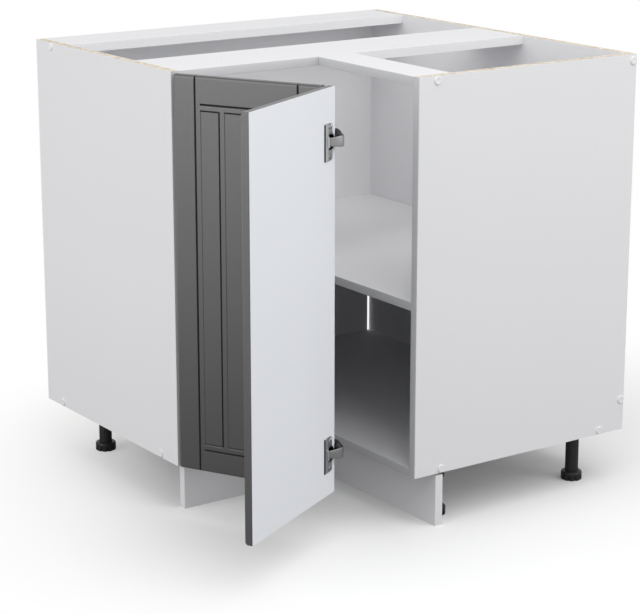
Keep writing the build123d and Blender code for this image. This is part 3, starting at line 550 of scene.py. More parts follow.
WHITE = (0.80, 0.80, 0.815)
NICKEL_TONE = (0.50, 0.505, 0.515)
BLACK_LOOKS = {"tone": 0.3, "drift": 30.0, "peel": 1800.0, "relief": 0.25}
CAP_LOOKS = {"drift": 60.0, "peel": 2600.0, "relief": 0.05}
LEFT_BOARD = board_material("left_panel_board", WHITE, "left_side_panel", 0)
CORNER_BOARD = board_material("corner_panel_board", WHITE, "corner_side_panel", 0)
RIGHT_BOARD = board_material("right_panel_board", WHITE, "right_side_panel", 1)
FACED_BOARD = skin_material("white_faced_board", WHITE, 0.55, tone=0.02, drift=4.0)[0]
# The edge bands are white, greyed to 0.60 here as painted shade for the shade that falls on them behind the
# doors
SHADED_EDGING = skin_material("grey_edge_band_painted_shade", (0.60, 0.60, 0.61), 0.38, peel=1500.0, relief=0.06)[0]
HARDBOARD = hardboard_material("white_hardboard", (0.86, 0.86, 0.87))
LINING = skin_material("white_door_lining", (0.845, 0.865, 0.905), 0.36, tone=0.02, drift=3.0, relief=0.06)[0]
# The door foil, its grooves darkened as painted shade
DOOR_FOIL_SHADED_GROOVES = foil_material("grey_door_foil_groove_shade", (0.050, 0.0470, 0.0482), 0.29)
BLACK_PLASTIC = skin_material("black_leg_plastic", (0.016, 0.0155, 0.017), 0.42, **BLACK_LOOKS)[0]
CAP_PLASTIC = skin_material("white_cap_plastic", (0.82, 0.82, 0.82), 0.3, **CAP_LOOKS)[0]
NICKEL = metal_material("nickel_plate", NICKEL_TONE, 0.30)
# Nickel of the folding hinges' cups, nearly black in the cup's mouth as painted shade
NICKEL_CUP_PAINTED_SHADE = metal_material("nickel_cup_painted_shade", NICKEL_TONE, 0.30, hollow=CUP_PAINTED_SHADE_DEPTHS)
STRAP_STEEL = metal_material("strap_plate", (0.35, 0.35, 0.355), 0.36)
ZINC = metal_material("zinc_plate", (0.66, 0.67, 0.68), 0.3)
BEECH = beech_material("beech_dowel")


def add_object(name, data):
    """Object at the origin with its data, in the scene."""
    thing = bpy.data.objects.new(name, data)
    bpy.context.scene.collection.objects.link(thing)
    return thing


def add_piece(name, points, faces, material, body, replaced=()):
    """Mesh object at the origin from points and lists of corner numbers; it rides on a body."""
    mesh = bpy.data.meshes.new(name)
    mesh.from_pydata(points.tolist(), [], faces)
    mesh.materials.append(material)
    mesh.shade_smooth()
    mesh.update()
    piece = add_object(name, mesh)
    mesh.set_sharp_from_angle(angle=SHARP_ANGLE)
    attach(piece, body)
    if replaced:
        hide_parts(*replaced)
    return piece


def mark_depths(piece, depths):
    """Depth of each point below its surface, which the materials read to paint shade into grooves and
    hollows.
    """
    piece.data.attributes.new(DEPTH_MARK, "FLOAT", "POINT").data.foreach_set("value", depths)


def stacked(parts):
    """Several point-and-face sets as one, with the corner numbers moved on."""
    points, faces, start = [], [], 0
    for part_points, part_faces in parts:
        points.append(part_points)
        faces += [[start + corner for corner in face] for face in part_faces]
        start += len(part_points)
    return np.concatenate(points), faces


def sheet(x, y, z):
    """Points of a surface from three arrays over its rows and columns, numbered row by row."""
    return np.stack(np.broadcast_arrays(x, y, z), axis=-1).reshape(-1, 3)


def grid_faces(rows, columns, close_rows=False, close_columns=False):
    """Quads of a grid of points, numbered row by row; either direction may close on itself."""
    number = np.arange(rows * columns).reshape(rows, columns)
    if close_rows:
        number = np.concatenate([number, number[:1]])
    if close_columns:
        number = np.concatenate([number, number[:, :1]], axis=1)
    corners = (number[:-1, :-1], number[:-1, 1:], number[1:, 1:], number[1:, :-1])
    return np.stack(corners, axis=2).reshape(-1, 4)


def grid_border(rows, columns):
    """Numbers of a grid's border points, once round."""
    number = np.arange(rows * columns).reshape(rows, columns)
    return np.concatenate([number[:-1, 0], number[-1, :-1], number[:0:-1, -1], number[0, :0:-1]])


def rod_faces(rows, columns, flip=False):
    """Faces of a closed section of points carried along rows, with both ends capped."""
    last = (rows - 1) * columns
    faces = grid_faces(rows, columns, close_columns=True).tolist()
    faces += [list(range(columns))[::-1], list(range(last, last + columns))]
    return [face[::-1] for face in faces] if flip else faces


def full_turn(sides):
    """Angles once round in even steps, as one row."""
    return np.linspace(0.0, 2 * np.pi, sides, endpoint=False)[None, :]


def turned(radius, height, sides, closed=False):
    """Surface of revolution: radius and height arrays over (profile, angle) carried round +Z.

    An open profile starts and ends in a flat cap, and a closed one joins end to start.
    """
    angle = full_turn(sides)
    points = sheet(radius * np.cos(angle), radius * np.sin(angle), height)
    rows = len(radius)
    if closed:
        return points, grid_faces(rows, sides, close_rows=True, close_columns=True).tolist()
    return points, rod_faces(rows, sides)


def smooth_step(edge, width, x):
    """0 below the edge, 1 above edge plus width, and the cubic 3t2 - 2t3 between."""
    t = np.clip((x - edge) / width, 0.0, 1.0)
    return t * t * (3 - 2 * t)


def plateau(x, low, high, slope):
    """1 between low and high, falling smoothly to 0 over a slope just inside each."""
    return smooth_step(low, slope, x) * (1 - smooth_step(high - slope, slope, x))


def within(distance, bevel):
    """1 inside a shape given by its signed distance, falling to 0 over a bevel just inside its edge."""
    return 1 - smooth_step(-bevel, bevel, distance)


def groove(x, place, width=GROOVE_WIDTH, depth=GROOVE_DEPTH):
    """Depth of a round-bottomed groove: a raised cosine about its place."""
    t = np.clip(np.abs(x - place) / (width / 2), 0.0, 1.0)
    return depth * 0.5 * (1 + np.cos(np.pi * t))


def refined(low, high, places):
    """Coordinates from low to high: close together near the ends and the places, wide elsewhere."""
    near = [np.arange(place - FINE_REACH, place + FINE_REACH, FINE_STEP) for place in places]
    near += [np.arange(low, low + FINE_ENDS, FINE_STEP), np.arange(high - FINE_ENDS, high, FINE_STEP)]
    wide = np.linspace(low, high, WIDE_LINES)
    values = np.unique(np.round(np.concatenate(near + [wide, [low, high]]), 6))
    return values[(values >= low) & (values <= high)]


def door_lines(width):
    """Along a door: the grooves of its two stiles, and where its planks start and end."""
    left, right = HINGE_EDGE + STILE, HINGE_EDGE + width - STILE
    pitch = (right - left - BEAD) / PLANKS
    starts = left + BEAD + pitch * np.arange(PLANKS)
    return left, right, starts, starts + pitch - BEAD


def door_relief(s, z, width):
    """Depth of a door's front at s and z, and the depth of its grooves alone.

    The deepest of: a groove along each stile and each rail, the planks, which are sunk between
    gently sloped sides, and the planks' own grooves along one side and both ends; near the border
    a quarter circle rounds the arris.
    """
    left, right, starts, ends = door_lines(width)
    stiles = np.maximum(groove(s, left), groove(s, right))
    rails = np.maximum(groove(z, RAIL_GROOVE_LOW), groove(z, RAIL_GROOVE_HIGH))
    depth = np.maximum(stiles, rails * plateau(s, left + BEAD, right - BEAD, RAIL_GROOVE_END))
    upright = plateau(z, PLANK_FOOT, PLANK_HEAD, PLANK_SLOPE)
    tall = (z > PLANK_FOOT) & (z < PLANK_HEAD)
    foot = groove(z, PLANK_FOOT + PLANK_END_INSET, *PLANK_FOOT_GROOVE)
    head = groove(z, PLANK_HEAD - PLANK_END_INSET, *PLANK_HEAD_GROOVE)
    for start, end in zip(starts, ends):
        plank = PLANK_RECESS * plateau(s, start, end, PLANK_SLOPE) * upright
        across = np.maximum(foot, head) * ((s > start) & (s < end))
        depth = np.maximum.reduce([depth, plank, groove(s, end) * tall, across])
    edge_s = np.clip(DOOR_ARRIS - np.minimum(s - HINGE_EDGE, HINGE_EDGE + width - s), 0.0, None)
    edge_z = np.clip(DOOR_ARRIS - np.minimum(z - DOOR_LOW, DOOR_HIGH - z), 0.0, None)
    fall = np.sqrt(np.clip(DOOR_ARRIS**2 - edge_s**2 - edge_z**2, 0.0, None))
    return np.maximum(depth * (fall / DOOR_ARRIS), DOOR_ARRIS - fall), depth


def door_board(width):
    """A door's board in its own s, n, z: a front worked out as a height over a grid,
    straight edges back to the lining, and a closed pocket behind the lining for the cups."""
    left, right, starts, ends = door_lines(width)
    marks_s = np.concatenate([[left, right], starts + PLANK_SLOPE / 2, ends])
    marks_z = [RAIL_GROOVE_LOW, RAIL_GROOVE_HIGH, PLANK_FOOT + PLANK_SLOPE, PLANK_HEAD - PLANK_SLOPE]
    along = refined(HINGE_EDGE, HINGE_EDGE + width, marks_s)
    up = refined(DOOR_LOW, DOOR_HIGH, marks_z)
    s, z = np.meshgrid(along, up, indexing="ij")
    relief, groove_depth = door_relief(s, z, width)
    front = sheet(s, DOOR_FRONT + relief, z)
    loop = grid_border(*s.shape)
    back = front[loop]
    back[:, 1] = LINING_BACK
    centre = np.array([HINGE_EDGE + width / 2, 0.0, (DOOR_LOW + DOOR_HIGH) / 2])
    shrink = np.array([1 - 2 * POCKET_RIM / width, 1.0, 1 - 2 * POCKET_RIM / (DOOR_HIGH - DOOR_LOW)])
    lip = centre + (back - centre) * shrink
    floor = lip.copy()
    floor[:, 1] = POCKET_FLOOR
    rings = np.stack([loop, *(len(front) + np.arange(3 * len(loop)).reshape(3, -1))])
    after = np.roll(rings, -1, axis=1)
    walls = np.stack([rings[:-1], rings[1:], after[1:], after[:-1]], axis=2).reshape(-1, 4)
    faces = grid_faces(*s.shape)[:, ::-1].tolist() + walls.tolist() + [rings[-1][::-1].tolist()]
    points = np.concatenate([front, back, lip, floor])
    depths = np.zeros(len(points))
    depths[: len(front)] = groove_depth.reshape(-1)
    return points, faces, depths


PINS = {joint["child"]: np.array(joint["pos_m"]) for joint in frame["joints"] if joint["type"] == "hinge"}
COS, SIN = math.cos(OPENING), math.sin(OPENING)
DOOR_AXES = {
    "first_door": np.array([(COS, -SIN, 0.0), (SIN, COS, 0.0), (0.0, 0.0, 1.0)]),
    "second_door": np.array([(-SIN, -COS, 0.0), (COS, -SIN, 0.0), (0.0, 0.0, 1.0)]),
}


def on_door(door, points):
    """From a door's s, n, z to the row frame: its three axes laid out from its hinge pin."""
    return PINS[door] * (1, 1, 0) + points @ DOOR_AXES[door]


def rounded_box(x, y, centre, half_x, half_y, corner):
    """Signed distance to a rectangle about (centre, 0) with rounded corners, negative inside."""
    out_x = np.abs(x - centre) - half_x + corner
    out_y = np.abs(y) - half_y + corner
    outside = np.hypot(np.maximum(out_x, 0.0), np.maximum(out_y, 0.0))
    return outside + np.minimum(np.maximum(out_x, out_y), 0.0) - corner


def cup_relief(s, z):
    """Height of a folding hinge's cup over s and z, its middle at z = 0.

    A plate joined with a round rim, both bevelled, with a slope on the far side; sunk hooked
    screw holes; a raised lip; and the mouth beside it, a rectangle kept inside the round bore,
    which drops to the cup's floor.
    """
    out = s - CUP_CENTRE
    edge = np.minimum(rounded_box(s, z, *CUP_PLATE), np.hypot(out, z) - CUP_RIM_RADIUS)
    rise = CUP_PLATE_RISE - CUP_FALL * smooth_step(*CUP_FALL_RUN, s)
    height = CUP_BED + rise * within(edge, CUP_BEVEL)
    for side in (-1, 1):
        up = side * z - CUP_SCREW_REACH
        slide = HOOK_REACH * np.clip((up - out) / HOOK_RUN, 0.0, 1.0)
        hook = np.hypot(out + slide, up - slide) - HOOK_RADIUS
        hole = np.minimum(np.hypot(out, up) - CUP_HOLE_RADIUS, hook)
        height = height - CUP_HOLE_DEPTH * (1 - smooth_step(-CUP_HOLE_BEVEL / 2, CUP_HOLE_BEVEL, hole))
    height = height + CUP_LIP_RISE * within(rounded_box(s, z, *CUP_LIP), CUP_LIP_BEVEL)
    bore = np.hypot(out, z) - CUP_BORE
    mouth = within(np.maximum(rounded_box(s, z, *CUP_MOUTH), bore), CUP_MOUTH_BEVEL)
    return height * (1 - mouth) + CUP_FLOOR * mouth


def cup_with_plate():
    """A folding hinge's cup in the second door's s, n, z: its relief over a grid, closed by
    straight sides and a flat base inside the door."""
    s, z = np.meshgrid(np.linspace(*CUP_ALONG), np.linspace(*CUP_UP), indexing="ij")
    top = sheet(s, cup_relief(s, z), z)
    loop = grid_border(*s.shape)
    base = top[loop]
    base[:, 1] = CUP_BASE
    below = len(top) + np.arange(len(loop))
    sides = np.stack([loop, np.roll(loop, -1), np.roll(below, -1), below], axis=1)
    faces = grid_faces(*s.shape).tolist() + sides.tolist() + [below.tolist()]
    return np.concatenate([top, base]), faces


def cup_shade_strip():
    """Black strip along a cup plate's far side, put there as painted shade: a half-round section carried
    straight up.
    """
    bow = np.linspace(0.0, np.pi, 9)
    s = CUP_EDGE_S - CUP_EDGE_HALF * np.concatenate([[-1.0, 1.0], np.cos(bow)])
    n = np.concatenate([[CUP_BED, CUP_BED], FLANGE_TOP - CUP_EDGE_SINK + CUP_EDGE_RISE * np.sin(bow)])
    z = np.array([[-CUP_EDGE_REACH], [CUP_EDGE_REACH]])
    return sheet(s, n, z), rod_faces(2, len(s), flip=True)


def bezier(a, b, c, d, count):
    """Points of a cubic curve from a to d, drawn towards b and c."""
    t = np.linspace(0.0, 1.0, count)[:, None]
    a, b, c, d = (np.array(point) for point in (a, b, c, d))
    return a * (1 - t) ** 3 + 3 * b * t * (1 - t) ** 2 + 3 * c * t**2 * (1 - t) + d * t**3


def flat_bar(line, half):
    """Flat bar carried along a line of n and -s, half as wide along z as given at each of its
    points; the section has rounded arrises and both ends are closed."""
    run = np.gradient(line, axis=0)
    run /= np.linalg.norm(run, axis=1, keepdims=True)
    aside = np.stack([run[:, 1], -run[:, 0]], axis=1)
    bow = np.radians(np.linspace(0.0, 90.0, 5))
    corner = np.concatenate([bow + quarter * np.pi / 2 for quarter in range(4)])
    sign_a = np.repeat([1, -1, -1, 1], len(bow))
    sign_b = np.repeat([1, 1, -1, -1], len(bow))
    a = sign_a * (STRAP_THICKNESS / 2 - STRAP_ARRIS) + STRAP_ARRIS * np.cos(corner)
    b = sign_b * (half[:, None] - STRAP_ARRIS) + STRAP_ARRIS * np.sin(corner)
    plan = line[:, None, :] + a[None, :, None] * aside[:, None, :]
    return sheet(-plan[:, :, 1], plan[:, :, 0], b), rod_faces(*b.shape, flip=True)


def fold_strap():
    """A folding hinge's strap about its pin, in the second door's n and -s, with z up.

    A tongue over the cup's mouth that widens, an arc about the pin and a foot laid on the first
    door's plate, all one bar; and a narrow web from the pin up into the strap.
    """
    turn = np.radians(np.linspace(*STRAP_TURN, 30))
    arc = STRAP_RADIUS * np.stack([np.cos(turn), np.sin(turn)], axis=1)
    heading = np.stack([-np.sin(turn), np.cos(turn)], axis=1)
    tongue = bezier(STRAP_TIP, STRAP_TIP_PULL, arc[0] - STRAP_LEAD * heading[0], arc[0], 26)
    leave = arc[-1] + STRAP_LEAVE * heading[-1]
    bend = bezier(arc[-1], leave, STRAP_BEND_PULL, STRAP_BEND_END, 12)
    line = np.concatenate([tongue[:-1], arc, bend[1:], [STRAP_FOOT_END]])
    half = np.full(len(line), STRAP_HALF_WIDTH)
    widen = smooth_step(0.0, STRAP_WIDENING, np.linspace(0.0, 1.0, len(tongue)))
    half[: len(tongue)] = STRAP_TIP_HALF + (STRAP_HALF_WIDTH - STRAP_TIP_HALF) * widen
    web = np.linspace(WEB_LOW, WEB_HIGH, 6)
    return stacked([flat_bar(line, half), flat_bar(web, np.full(len(web), WEB_HALF))])


def domed_shade_cover():
    """Black cover inside a strap's arc, its black standing in as painted shade of the arc's inside; in the
    same n and -s: a section carried round the pin, flat below and topped by half an ellipse, whose height
    follows half an ellipse along the arc too."""
    degrees = np.linspace(*COVER_TURN, 34)[:, None]
    rise = COVER_RISE * np.sqrt(np.clip(1 - ((degrees - COVER_CROWN) / COVER_CROWN_SPAN) ** 2, 0.0, 1.0))
    turn = np.radians(degrees)
    bow = np.linspace(0.0, np.pi, 14)
    top = COVER_RADII.mean() + np.ptp(COVER_RADII) / 2 * np.cos(bow)
    radius = np.concatenate([COVER_RADII, top])
    flat = np.full((len(turn), 2), -COVER_HALF_WIDTH)
    height = np.concatenate([flat, COVER_HALF_WIDTH + rise * np.sin(bow)], axis=1)
    points = sheet(-radius * np.sin(turn), radius * np.cos(turn), height)
    return points, rod_faces(*height.shape, flip=True)


def leg_column(low, high):
    """Column as a closed ring of revolution, its radius rippled into upright ribs by a cosine."""
    rib = COLUMN_RIB * (0.5 - 0.5 * np.cos(COLUMN_RIBS * full_turn(COLUMN_SIDES))) ** 4
    outer = COLUMN_RADIUS - COLUMN_CHAMFER * np.array([[1.0], [0.0], [0.0], [0.0]]) - rib
    bore = np.full((2, COLUMN_SIDES), COLUMN_BORE)
    height = np.array([low, low + COLUMN_CHAMFER, (low + high) / 2, high, high, low])
    return turned(np.concatenate([outer, bore]), height[:, None], COLUMN_SIDES, closed=True)


def foot():
    """Foot as a surface of revolution: a notched rim, a rounded shoulder, the column's socket and
    the stem. The rim's radius dips by a clipped cosine over the lower part, which makes the notches."""
    wave = np.clip(NOTCH_FLANK * (np.cos(FOOT_NOTCHES * full_turn(FOOT_SIDES)) - NOTCH_GAP), 0.0, 1.0)
    bend = np.linspace(0.0, np.pi / 2, 6)
    rim_r = FOOT_RADIUS - np.array([FOOT_CHAMFER, 0.0, 0.0, 0.0])
    rim_z = [0.0, FOOT_CHAMFER, NOTCH_TOP - NOTCH_FADE, NOTCH_TOP]
    shoulder_r = FOOT_RADIUS - FOOT_SHOULDER * (1 - np.cos(bend))
    shoulder_z = FOOT_HEIGHT - FOOT_SHOULDER * (1 - np.sin(bend))
    inside_r = [FOOT_SOCKET, FOOT_SOCKET, STEM_RADIUS, STEM_RADIUS]
    inside_z = [FOOT_HEIGHT, FOOT_FLOOR, FOOT_FLOOR, STEM_TOP]
    radius = np.concatenate([rim_r, shoulder_r, inside_r])[:, None]
    height = np.concatenate([rim_z, shoulder_z, inside_z])[:, None]
    notched = np.arange(len(radius))[:, None] < len(rim_z) - 1
    return turned(radius - NOTCH_DEPTH * wave * notched, height, FOOT_SIDES)


def cap_dome():
    """Screw cap: a straight rim, a shoulder rounded by a quarter circle and a crown that dips by a
    cosine towards its middle."""
    bend = np.linspace(0.0, np.pi / 2, 7)
    inward = np.linspace(1.0, 0.02, 10)[1:]
    dip = CAP_DIP * 0.5 * (1 + np.cos(np.pi * inward))
    shoulder_r = CAP_RADIUS - CAP_SHOULDER * (1 - np.cos(bend))
    shoulder_z = CAP_RISE - CAP_SHOULDER * (1 - np.sin(bend))
    radius = np.concatenate([[CAP_RADIUS], shoulder_r, inward * (CAP_RADIUS - CAP_SHOULDER)])
    height = np.concatenate([[0.0], shoulder_z, CAP_RISE - dip])
    return turned(radius[:, None], height[:, None], CAP_SIDES)


def screw_head(radius, rise):
    """Pan head with a cross recess: a square grid folded into a disc, raised by the root of one less
    the fourth power of the radius and lowered inside the two arms of the cross."""
    line = np.concatenate([-HEAD_LINES[:0:-1], HEAD_LINES])
    u, v = np.meshgrid(line, line, indexing="ij")
    x = u * np.sqrt(1 - v**2 / 2)
    y = v * np.sqrt(1 - u**2 / 2)
    dome = rise * np.sqrt(np.clip(1 - (x**2 + y**2) ** 2, 0.0, 1.0))
    narrow = 1 - smooth_step(*CROSS_HALF_WIDTH, np.abs(u))
    arm = narrow * (1 - smooth_step(*CROSS_REACH, np.abs(v)))
    points = sheet(x * radius, y * radius, dome - CROSS_DEPTH * rise * np.maximum(arm, arm.T))
    under = grid_border(*u.shape)[::-1].tolist()
    return points, grid_faces(*u.shape)[:, ::-1].tolist() + [under]


def facing(points, place, outward, twist=0.0):
    """Turns a shape that stands on +Z to stand outward along an axis at a place."""
    outward = np.asarray(outward, float)
    side = np.array([1.0, 0.0, 0.0]) if outward[2] else np.cross([0.0, 0.0, 1.0], outward)
    turned_side = math.cos(twist) * side + math.sin(twist) * np.cross(outward, side)
    return place + points @ np.array([turned_side, np.cross(outward, turned_side), outward])


def band_strip(start, along, length, across, outward):
    """Edge band: a flat strip profile with two rounded front arrises, carried along a straight line."""
    bend = np.linspace(0.0, np.pi / 2, 5)
    round_a = BAND_ARRIS * (1 - np.cos(bend))
    round_b = EDGE_BAND - BAND_ARRIS * (1 - np.sin(bend))
    profile_a = np.concatenate([[0.0], round_a, BOARD - round_a[::-1], [BOARD]])
    profile_b = np.concatenate([[0.0], round_b, round_b[::-1], [0.0]])
    section = profile_a[:, None] * across + profile_b[:, None] * outward
    points = np.concatenate([section, section + length * along]) + start
    return points, rod_faces(2, len(section), flip=np.dot(np.cross(across, outward), along) > 0)


def all_edge_bands():
    """Bands on the front edges of the side panels, the bottom, the shelf and the rails."""
    to_x, to_y, to_z = np.eye(3)
    panel_low, panel_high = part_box("left_side_panel")
    right_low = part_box("right_side_panel")[0]
    front_x, front_y = right_low.x, panel_low.y
    tall = panel_high.z - panel_low.z
    parts = [
        band_strip((panel_low.x, front_y, panel_low.z), to_z, tall, to_x, -to_y),
        band_strip((front_x, right_low.y, panel_low.z), to_z, tall, to_y, -to_x),
    ]
    for node, setback in (("bottom_panel", 0.0), ("shelf", SHELF_SETBACK), ("long_front_rail", 0.0)):
        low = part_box(node)[0]
        low_y = low.y if node == "shelf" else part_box("bottom_panel")[0].y
        x, y = front_x + setback, front_y + setback
        parts.append(band_strip((low.x, y, low.z), to_x, x - low.x, to_z, -to_y))
        parts.append(band_strip((x, low_y, low.z), to_y, y - EDGE_BAND - low_y, to_z, -to_x))
    return stacked(parts)


def cap_places():
    """Middles and outward directions of the screw caps on the left and right panels."""
    left_low, left_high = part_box("left_side_panel")
    right_low, right_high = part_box("right_side_panel")
    low, top = left_low.z + BOARD / 2, left_high.z - BOARD / 2
    corner_x = right_high.x - BOARD / 2
    front_x = right_low.x - EDGE_BAND
    left = [
        (middle("back_rail")[1], top),
        (left_high.y - SCREW_INSET, low),
        (left_low.y - EDGE_BAND + SCREW_INSET, low),
    ]
    right = [
        ((front_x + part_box("short_front_rail")[1].x) / 2, top),
        (corner_x, right_high.z - SCREW_FROM_TOP),
        (corner_x, right_low.z + SCREW_INSET),
        (right_high.x - SCREW_INSET, low),
        (front_x + SCREW_INSET, low),
    ]
    places = [((left_low.x, y, z), (-1, 0, 0)) for y, z in left]
    return places + [((x, right_low.y, z), (0, -1, 0)) for x, z in right]


def dress_boards():
    """Finishes for the pieces that keep their CAD shape; other hinge pieces are nickel."""
    flat_boards = ("bottom_panel", "shelf", "back_rail", "long_front_rail", "short_front_rail")
    steel = ("connecting_screws", "back_panel_nails", "shelf_pins", "door_hinge_pins", "fold_hinge_pins")
    finishes = (
        (LEFT_BOARD, ("left_side_panel",)),
        (CORNER_BOARD, ("corner_side_panel",)),
        (RIGHT_BOARD, ("right_side_panel",)),
        (FACED_BOARD, flat_boards + ("left_plinth", "right_plinth")),
        (HARDBOARD, ("back_panel",)),
        (LINING, ("first_door_lining", "second_door_lining")),
        (BEECH, ("rail_dowels",)),
        (ZINC, steel),
        (BLACK_PLASTIC, ("leg_sockets", "left_plinth_clip", "right_plinth_clip")),
    )
    chosen = {name: material for material, names in finishes for name in names}
    for name, node in frame["nodes"].items():
        if name in chosen or "hinge" in name:
            node.data.materials.clear()
            node.data.materials.append(chosen.get(name, NICKEL))


def add_doors():
    """The two door boards in place of their CAD boards."""
    for door, width in DOOR_WIDTHS.items():
        points, faces, depths = door_board(width)
        points = on_door(door, points)
        board = add_piece(door + "_board", points, faces, DOOR_FOIL_SHADED_GROOVES, door, (door,))
        # Groove depths, which the foil reads to paint shade into its grooves
        mark_depths(board, depths)


def add_fold_hinges():
    """Cups, strips, straps and covers of the two hinges between the doors; the black strips and the black
    covers stand in as painted shade.
    """
    for level, z in zip(LEVELS, FOLD_HINGE_Z):
        cad = level + "_fold_hinge_"
        for name, shape, body, material, slot, replaced in (
            ("_cup_with_plate", cup_with_plate, "second_door", NICKEL_CUP_PAINTED_SHADE, "nickel_steel", (cad + "cup",)),
            # A black strip of painted shade along the cup plate's far side
            ("_cup_shade_strip", cup_shade_strip, "second_door", BLACK_PLASTIC, "black_plastic", ()),
            ("_bent_strap", fold_strap, "first_door", STRAP_STEEL, "nickel_steel", (cad + "arm",)),
            # A black cover inside the strap's arc, black as painted shade there
            ("_domed_shade_cover", domed_shade_cover, "first_door", BLACK_PLASTIC, "black_plastic", (cad + "cover",)),
        ):
            points, faces = shape()
            placed = on_door("second_door", points + (0.0, 0.0, z))
            piece = add_piece(level + name, placed, faces, material, body, replaced)
            # Depths below the cup's bed, which its nickel reads to paint shade into the mouth
            if shape is cup_with_plate:
                mark_depths(piece, np.maximum(CUP_BED - points[:, 1], 0.0))


def add_legs():
    """Ribbed columns and notched feet in place of the plain ones."""
    for leg in LEGS:
        column = leg + "_leg_column"
        sole = middle(column) * (1, 1, 0)
        for name, shape, body, cad in (
            ("_ribbed_column", leg_column(*(corner.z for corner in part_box(column))), "carcass", column),
            ("_notched_foot", foot(), leg + "_foot", leg + "_foot"),
        ):
            points, faces = shape
            add_piece(leg + name, points + sole, faces, BLACK_PLASTIC, body, (cad,))


def add_trim():
    """Edge bands, greyed as painted shade, and screw caps."""
    points, faces = all_edge_bands()
    add_piece("rounded_edge_bands", points, faces, SHADED_EDGING, "carcass", ("edge_bands",))
    dome, dome_faces = cap_dome()
    points, faces = stacked([(facing(dome, *place), dome_faces) for place in cap_places()])
    add_piece("domed_screw_caps", points, faces, CAP_PLASTIC, "carcass", ("screw_caps",))


def add_heads(name, places, size, turns, body="carcass", material=ZINC):
    """Screw heads at places with outward directions, each turned by its angle; on a door in s, n, z."""
    head, head_faces = screw_head(*size)
    points, faces = stacked([(facing(head, *place, turn), head_faces) for place, turn in zip(places, turns)])
    if body in DOOR_AXES:
        points = on_door(body, points)
    add_piece(name + "_heads", points, faces, material, body, (name + "s",))


def add_screw_heads():
    """Screw heads of the hinges' plates and cups and of the legs."""
    panel_low, panel_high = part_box("left_side_panel")
    x = panel_high.x + PLATE_THICKNESS
    y = panel_low.y - EDGE_BAND + PLATE_SCREW_BACK
    places = [((x, y, z + i * PLATE_SCREW_REACH), (1, 0, 0)) for z in HUNG_HINGE_Z for i in (-1, 1)]
    add_heads("hinge_plate_screw", places, HINGE_SCREW_HEAD, PLATE_SCREW_TURNS)

    for name, door, levels, s, n, reach, material in (
        ("door_cup_screw", "first_door", HUNG_HINGE_Z, CUP_CENTRE, FLANGE_TOP, CUP_SCREW_REACH, ZINC),
        ("fold_plate_screw", "first_door", FOLD_HINGE_Z, FOLD_SCREW_S, FOLD_SCREW_N, FOLD_SCREW_REACH, ZINC),
        ("fold_cup_screw", "second_door", FOLD_HINGE_Z, CUP_CENTRE, FLANGE_TOP, CUP_SCREW_REACH, STRAP_STEEL),
    ):
        places = [((s, n, z + i * reach), (0, 1, 0)) for z in levels for i in (-1, 1)]
        add_heads(name, places, HINGE_SCREW_HEAD, DOOR_SCREW_TURNS, door, material)

    places = []
    for leg in LEGS:
        x, y, _ = middle(leg + "_leg_column")
        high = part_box(leg + "_leg_column")[1].z
        for angle in LEG_SCREW_ANGLES:
            place = (x + LEG_SCREW_CIRCLE * math.cos(angle), y + LEG_SCREW_CIRCLE * math.sin(angle), high)
            places.append((place, (0, 0, -1)))
    add_heads("leg_screw", places, LEG_SCREW_HEAD, LEG_SCREW_TURN * np.arange(len(places)))


def floor_material():
    """Pale near the cabinet and glowing white further out, for mirrored rays only far off.
    Light that bounces finds a darker floor."""
    material, tree, shader = new_material("pale_floor")
    looks = {"Base Color": opaque(PURE_WHITE, FLOOR_TONE), "Roughness": 0.9, "Specular IOR Level": 0.1}
    settle(shader, looks)
    dull = put(tree, "BsdfDiffuse", {"Color": opaque(PURE_WHITE, FLOOR_BOUNCE)})
    glow = put(tree, "Emission", {"Color": opaque(PURE_WHITE)})
    spot = put(tree, "VectorMath", operation="DISTANCE")
    spot.inputs[1].default_value = FLOOR_SPOT
    on_object(tree, spot)
    fade = smooth_range(tree, spot.outputs["Value"], FLOOR_FADE)
    far = smooth_range(tree, spot.outputs["Value"], MIRRORED_FADE)
    path = put(tree, "LightPath")
    direct = path.outputs["Is Camera Ray"]
    through = maths(tree, "MAXIMUM", path.outputs["Is Glossy Ray"], path.outputs["Is Transmission Ray"])
    seen = maths(tree, "MULTIPLY", direct, fade)
    glowing = maths(tree, "MAXIMUM", seen, maths(tree, "MULTIPLY", through, far))
    near = mix_shaders(tree, direct, dull.outputs[0], shader.outputs[0])
    surface = mix_shaders(tree, glowing, near, glow.outputs[0])
    wire(tree, surface, tree.nodes["Material Output"].inputs["Surface"])
    return material


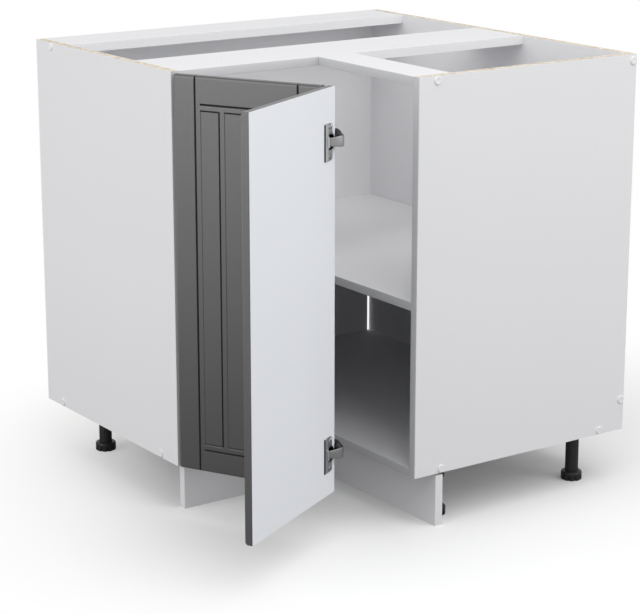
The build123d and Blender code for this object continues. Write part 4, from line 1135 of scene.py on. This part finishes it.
def add_floor():
    """Flat floor that takes the shadow near the cabinet and fades to white further out."""
    line = np.linspace(-FLOOR_HALF, FLOOR_HALF, FLOOR_LINES)
    x, y = np.meshgrid(line, line, indexing="ij")
    mesh = bpy.data.meshes.new("floor")
    mesh.from_pydata(sheet(x, y, 0.0).tolist(), [], grid_faces(*x.shape)[:, ::-1].tolist())
    mesh.materials.append(floor_material())
    add_object("floor", mesh)


def add_lamp(name, place, target, size, power):
    """Square soft lamp that looks from its place to a target."""
    light = bpy.data.lights.new(name, "AREA")
    light.size = size
    light.energy = power
    lamp = add_object(name, light)
    lamp.location = place
    x, y, z = np.array(target) - np.array(place)
    lamp.rotation_euler = (math.atan2(math.hypot(x, y), -z), 0.0, math.atan2(x, -y) + math.pi)


def add_light():
    """Even pale surroundings, pure white to the camera, and three soft lamps: above, right and left."""
    world = bpy.data.worlds.new("surroundings")
    world.use_nodes = True
    bpy.context.scene.world = world
    tree = world.node_tree
    background = tree.nodes["Background"]
    settle(background, {"Color": opaque(PURE_WHITE), "Strength": SURROUNDINGS})
    white = put(tree, "Background", {"Color": opaque(PURE_WHITE)})
    path = put(tree, "LightPath")
    seen = maths(tree, "MAXIMUM", path.outputs["Is Camera Ray"], path.outputs["Is Transmission Ray"])
    surface = mix_shaders(tree, seen, background.outputs[0], white.outputs[0])
    wire(tree, surface, tree.nodes["World Output"].inputs["Surface"])
    for lamp in LAMPS:
        add_lamp(*lamp)


def add_camera():
    """Camera at the photograph's place and angle."""
    lens = bpy.data.cameras.new("camera")
    lens.sensor_width = SENSOR_WIDTH
    lens.lens = CAMERA_FOCUS * SENSOR_WIDTH / FRAME_WIDTH
    camera = add_object("camera", lens)
    camera.location = CAMERA_PLACE
    camera.rotation_euler = (math.pi / 2 - CAMERA_PITCH, 0.0, -CAMERA_YAW)
    bpy.context.scene.camera = camera


dress_boards()
add_doors()
add_fold_hinges()
add_legs()
add_trim()
add_screw_heads()
add_floor()
add_light()
add_camera()
bpy.context.scene.view_settings.view_transform = "Standard"
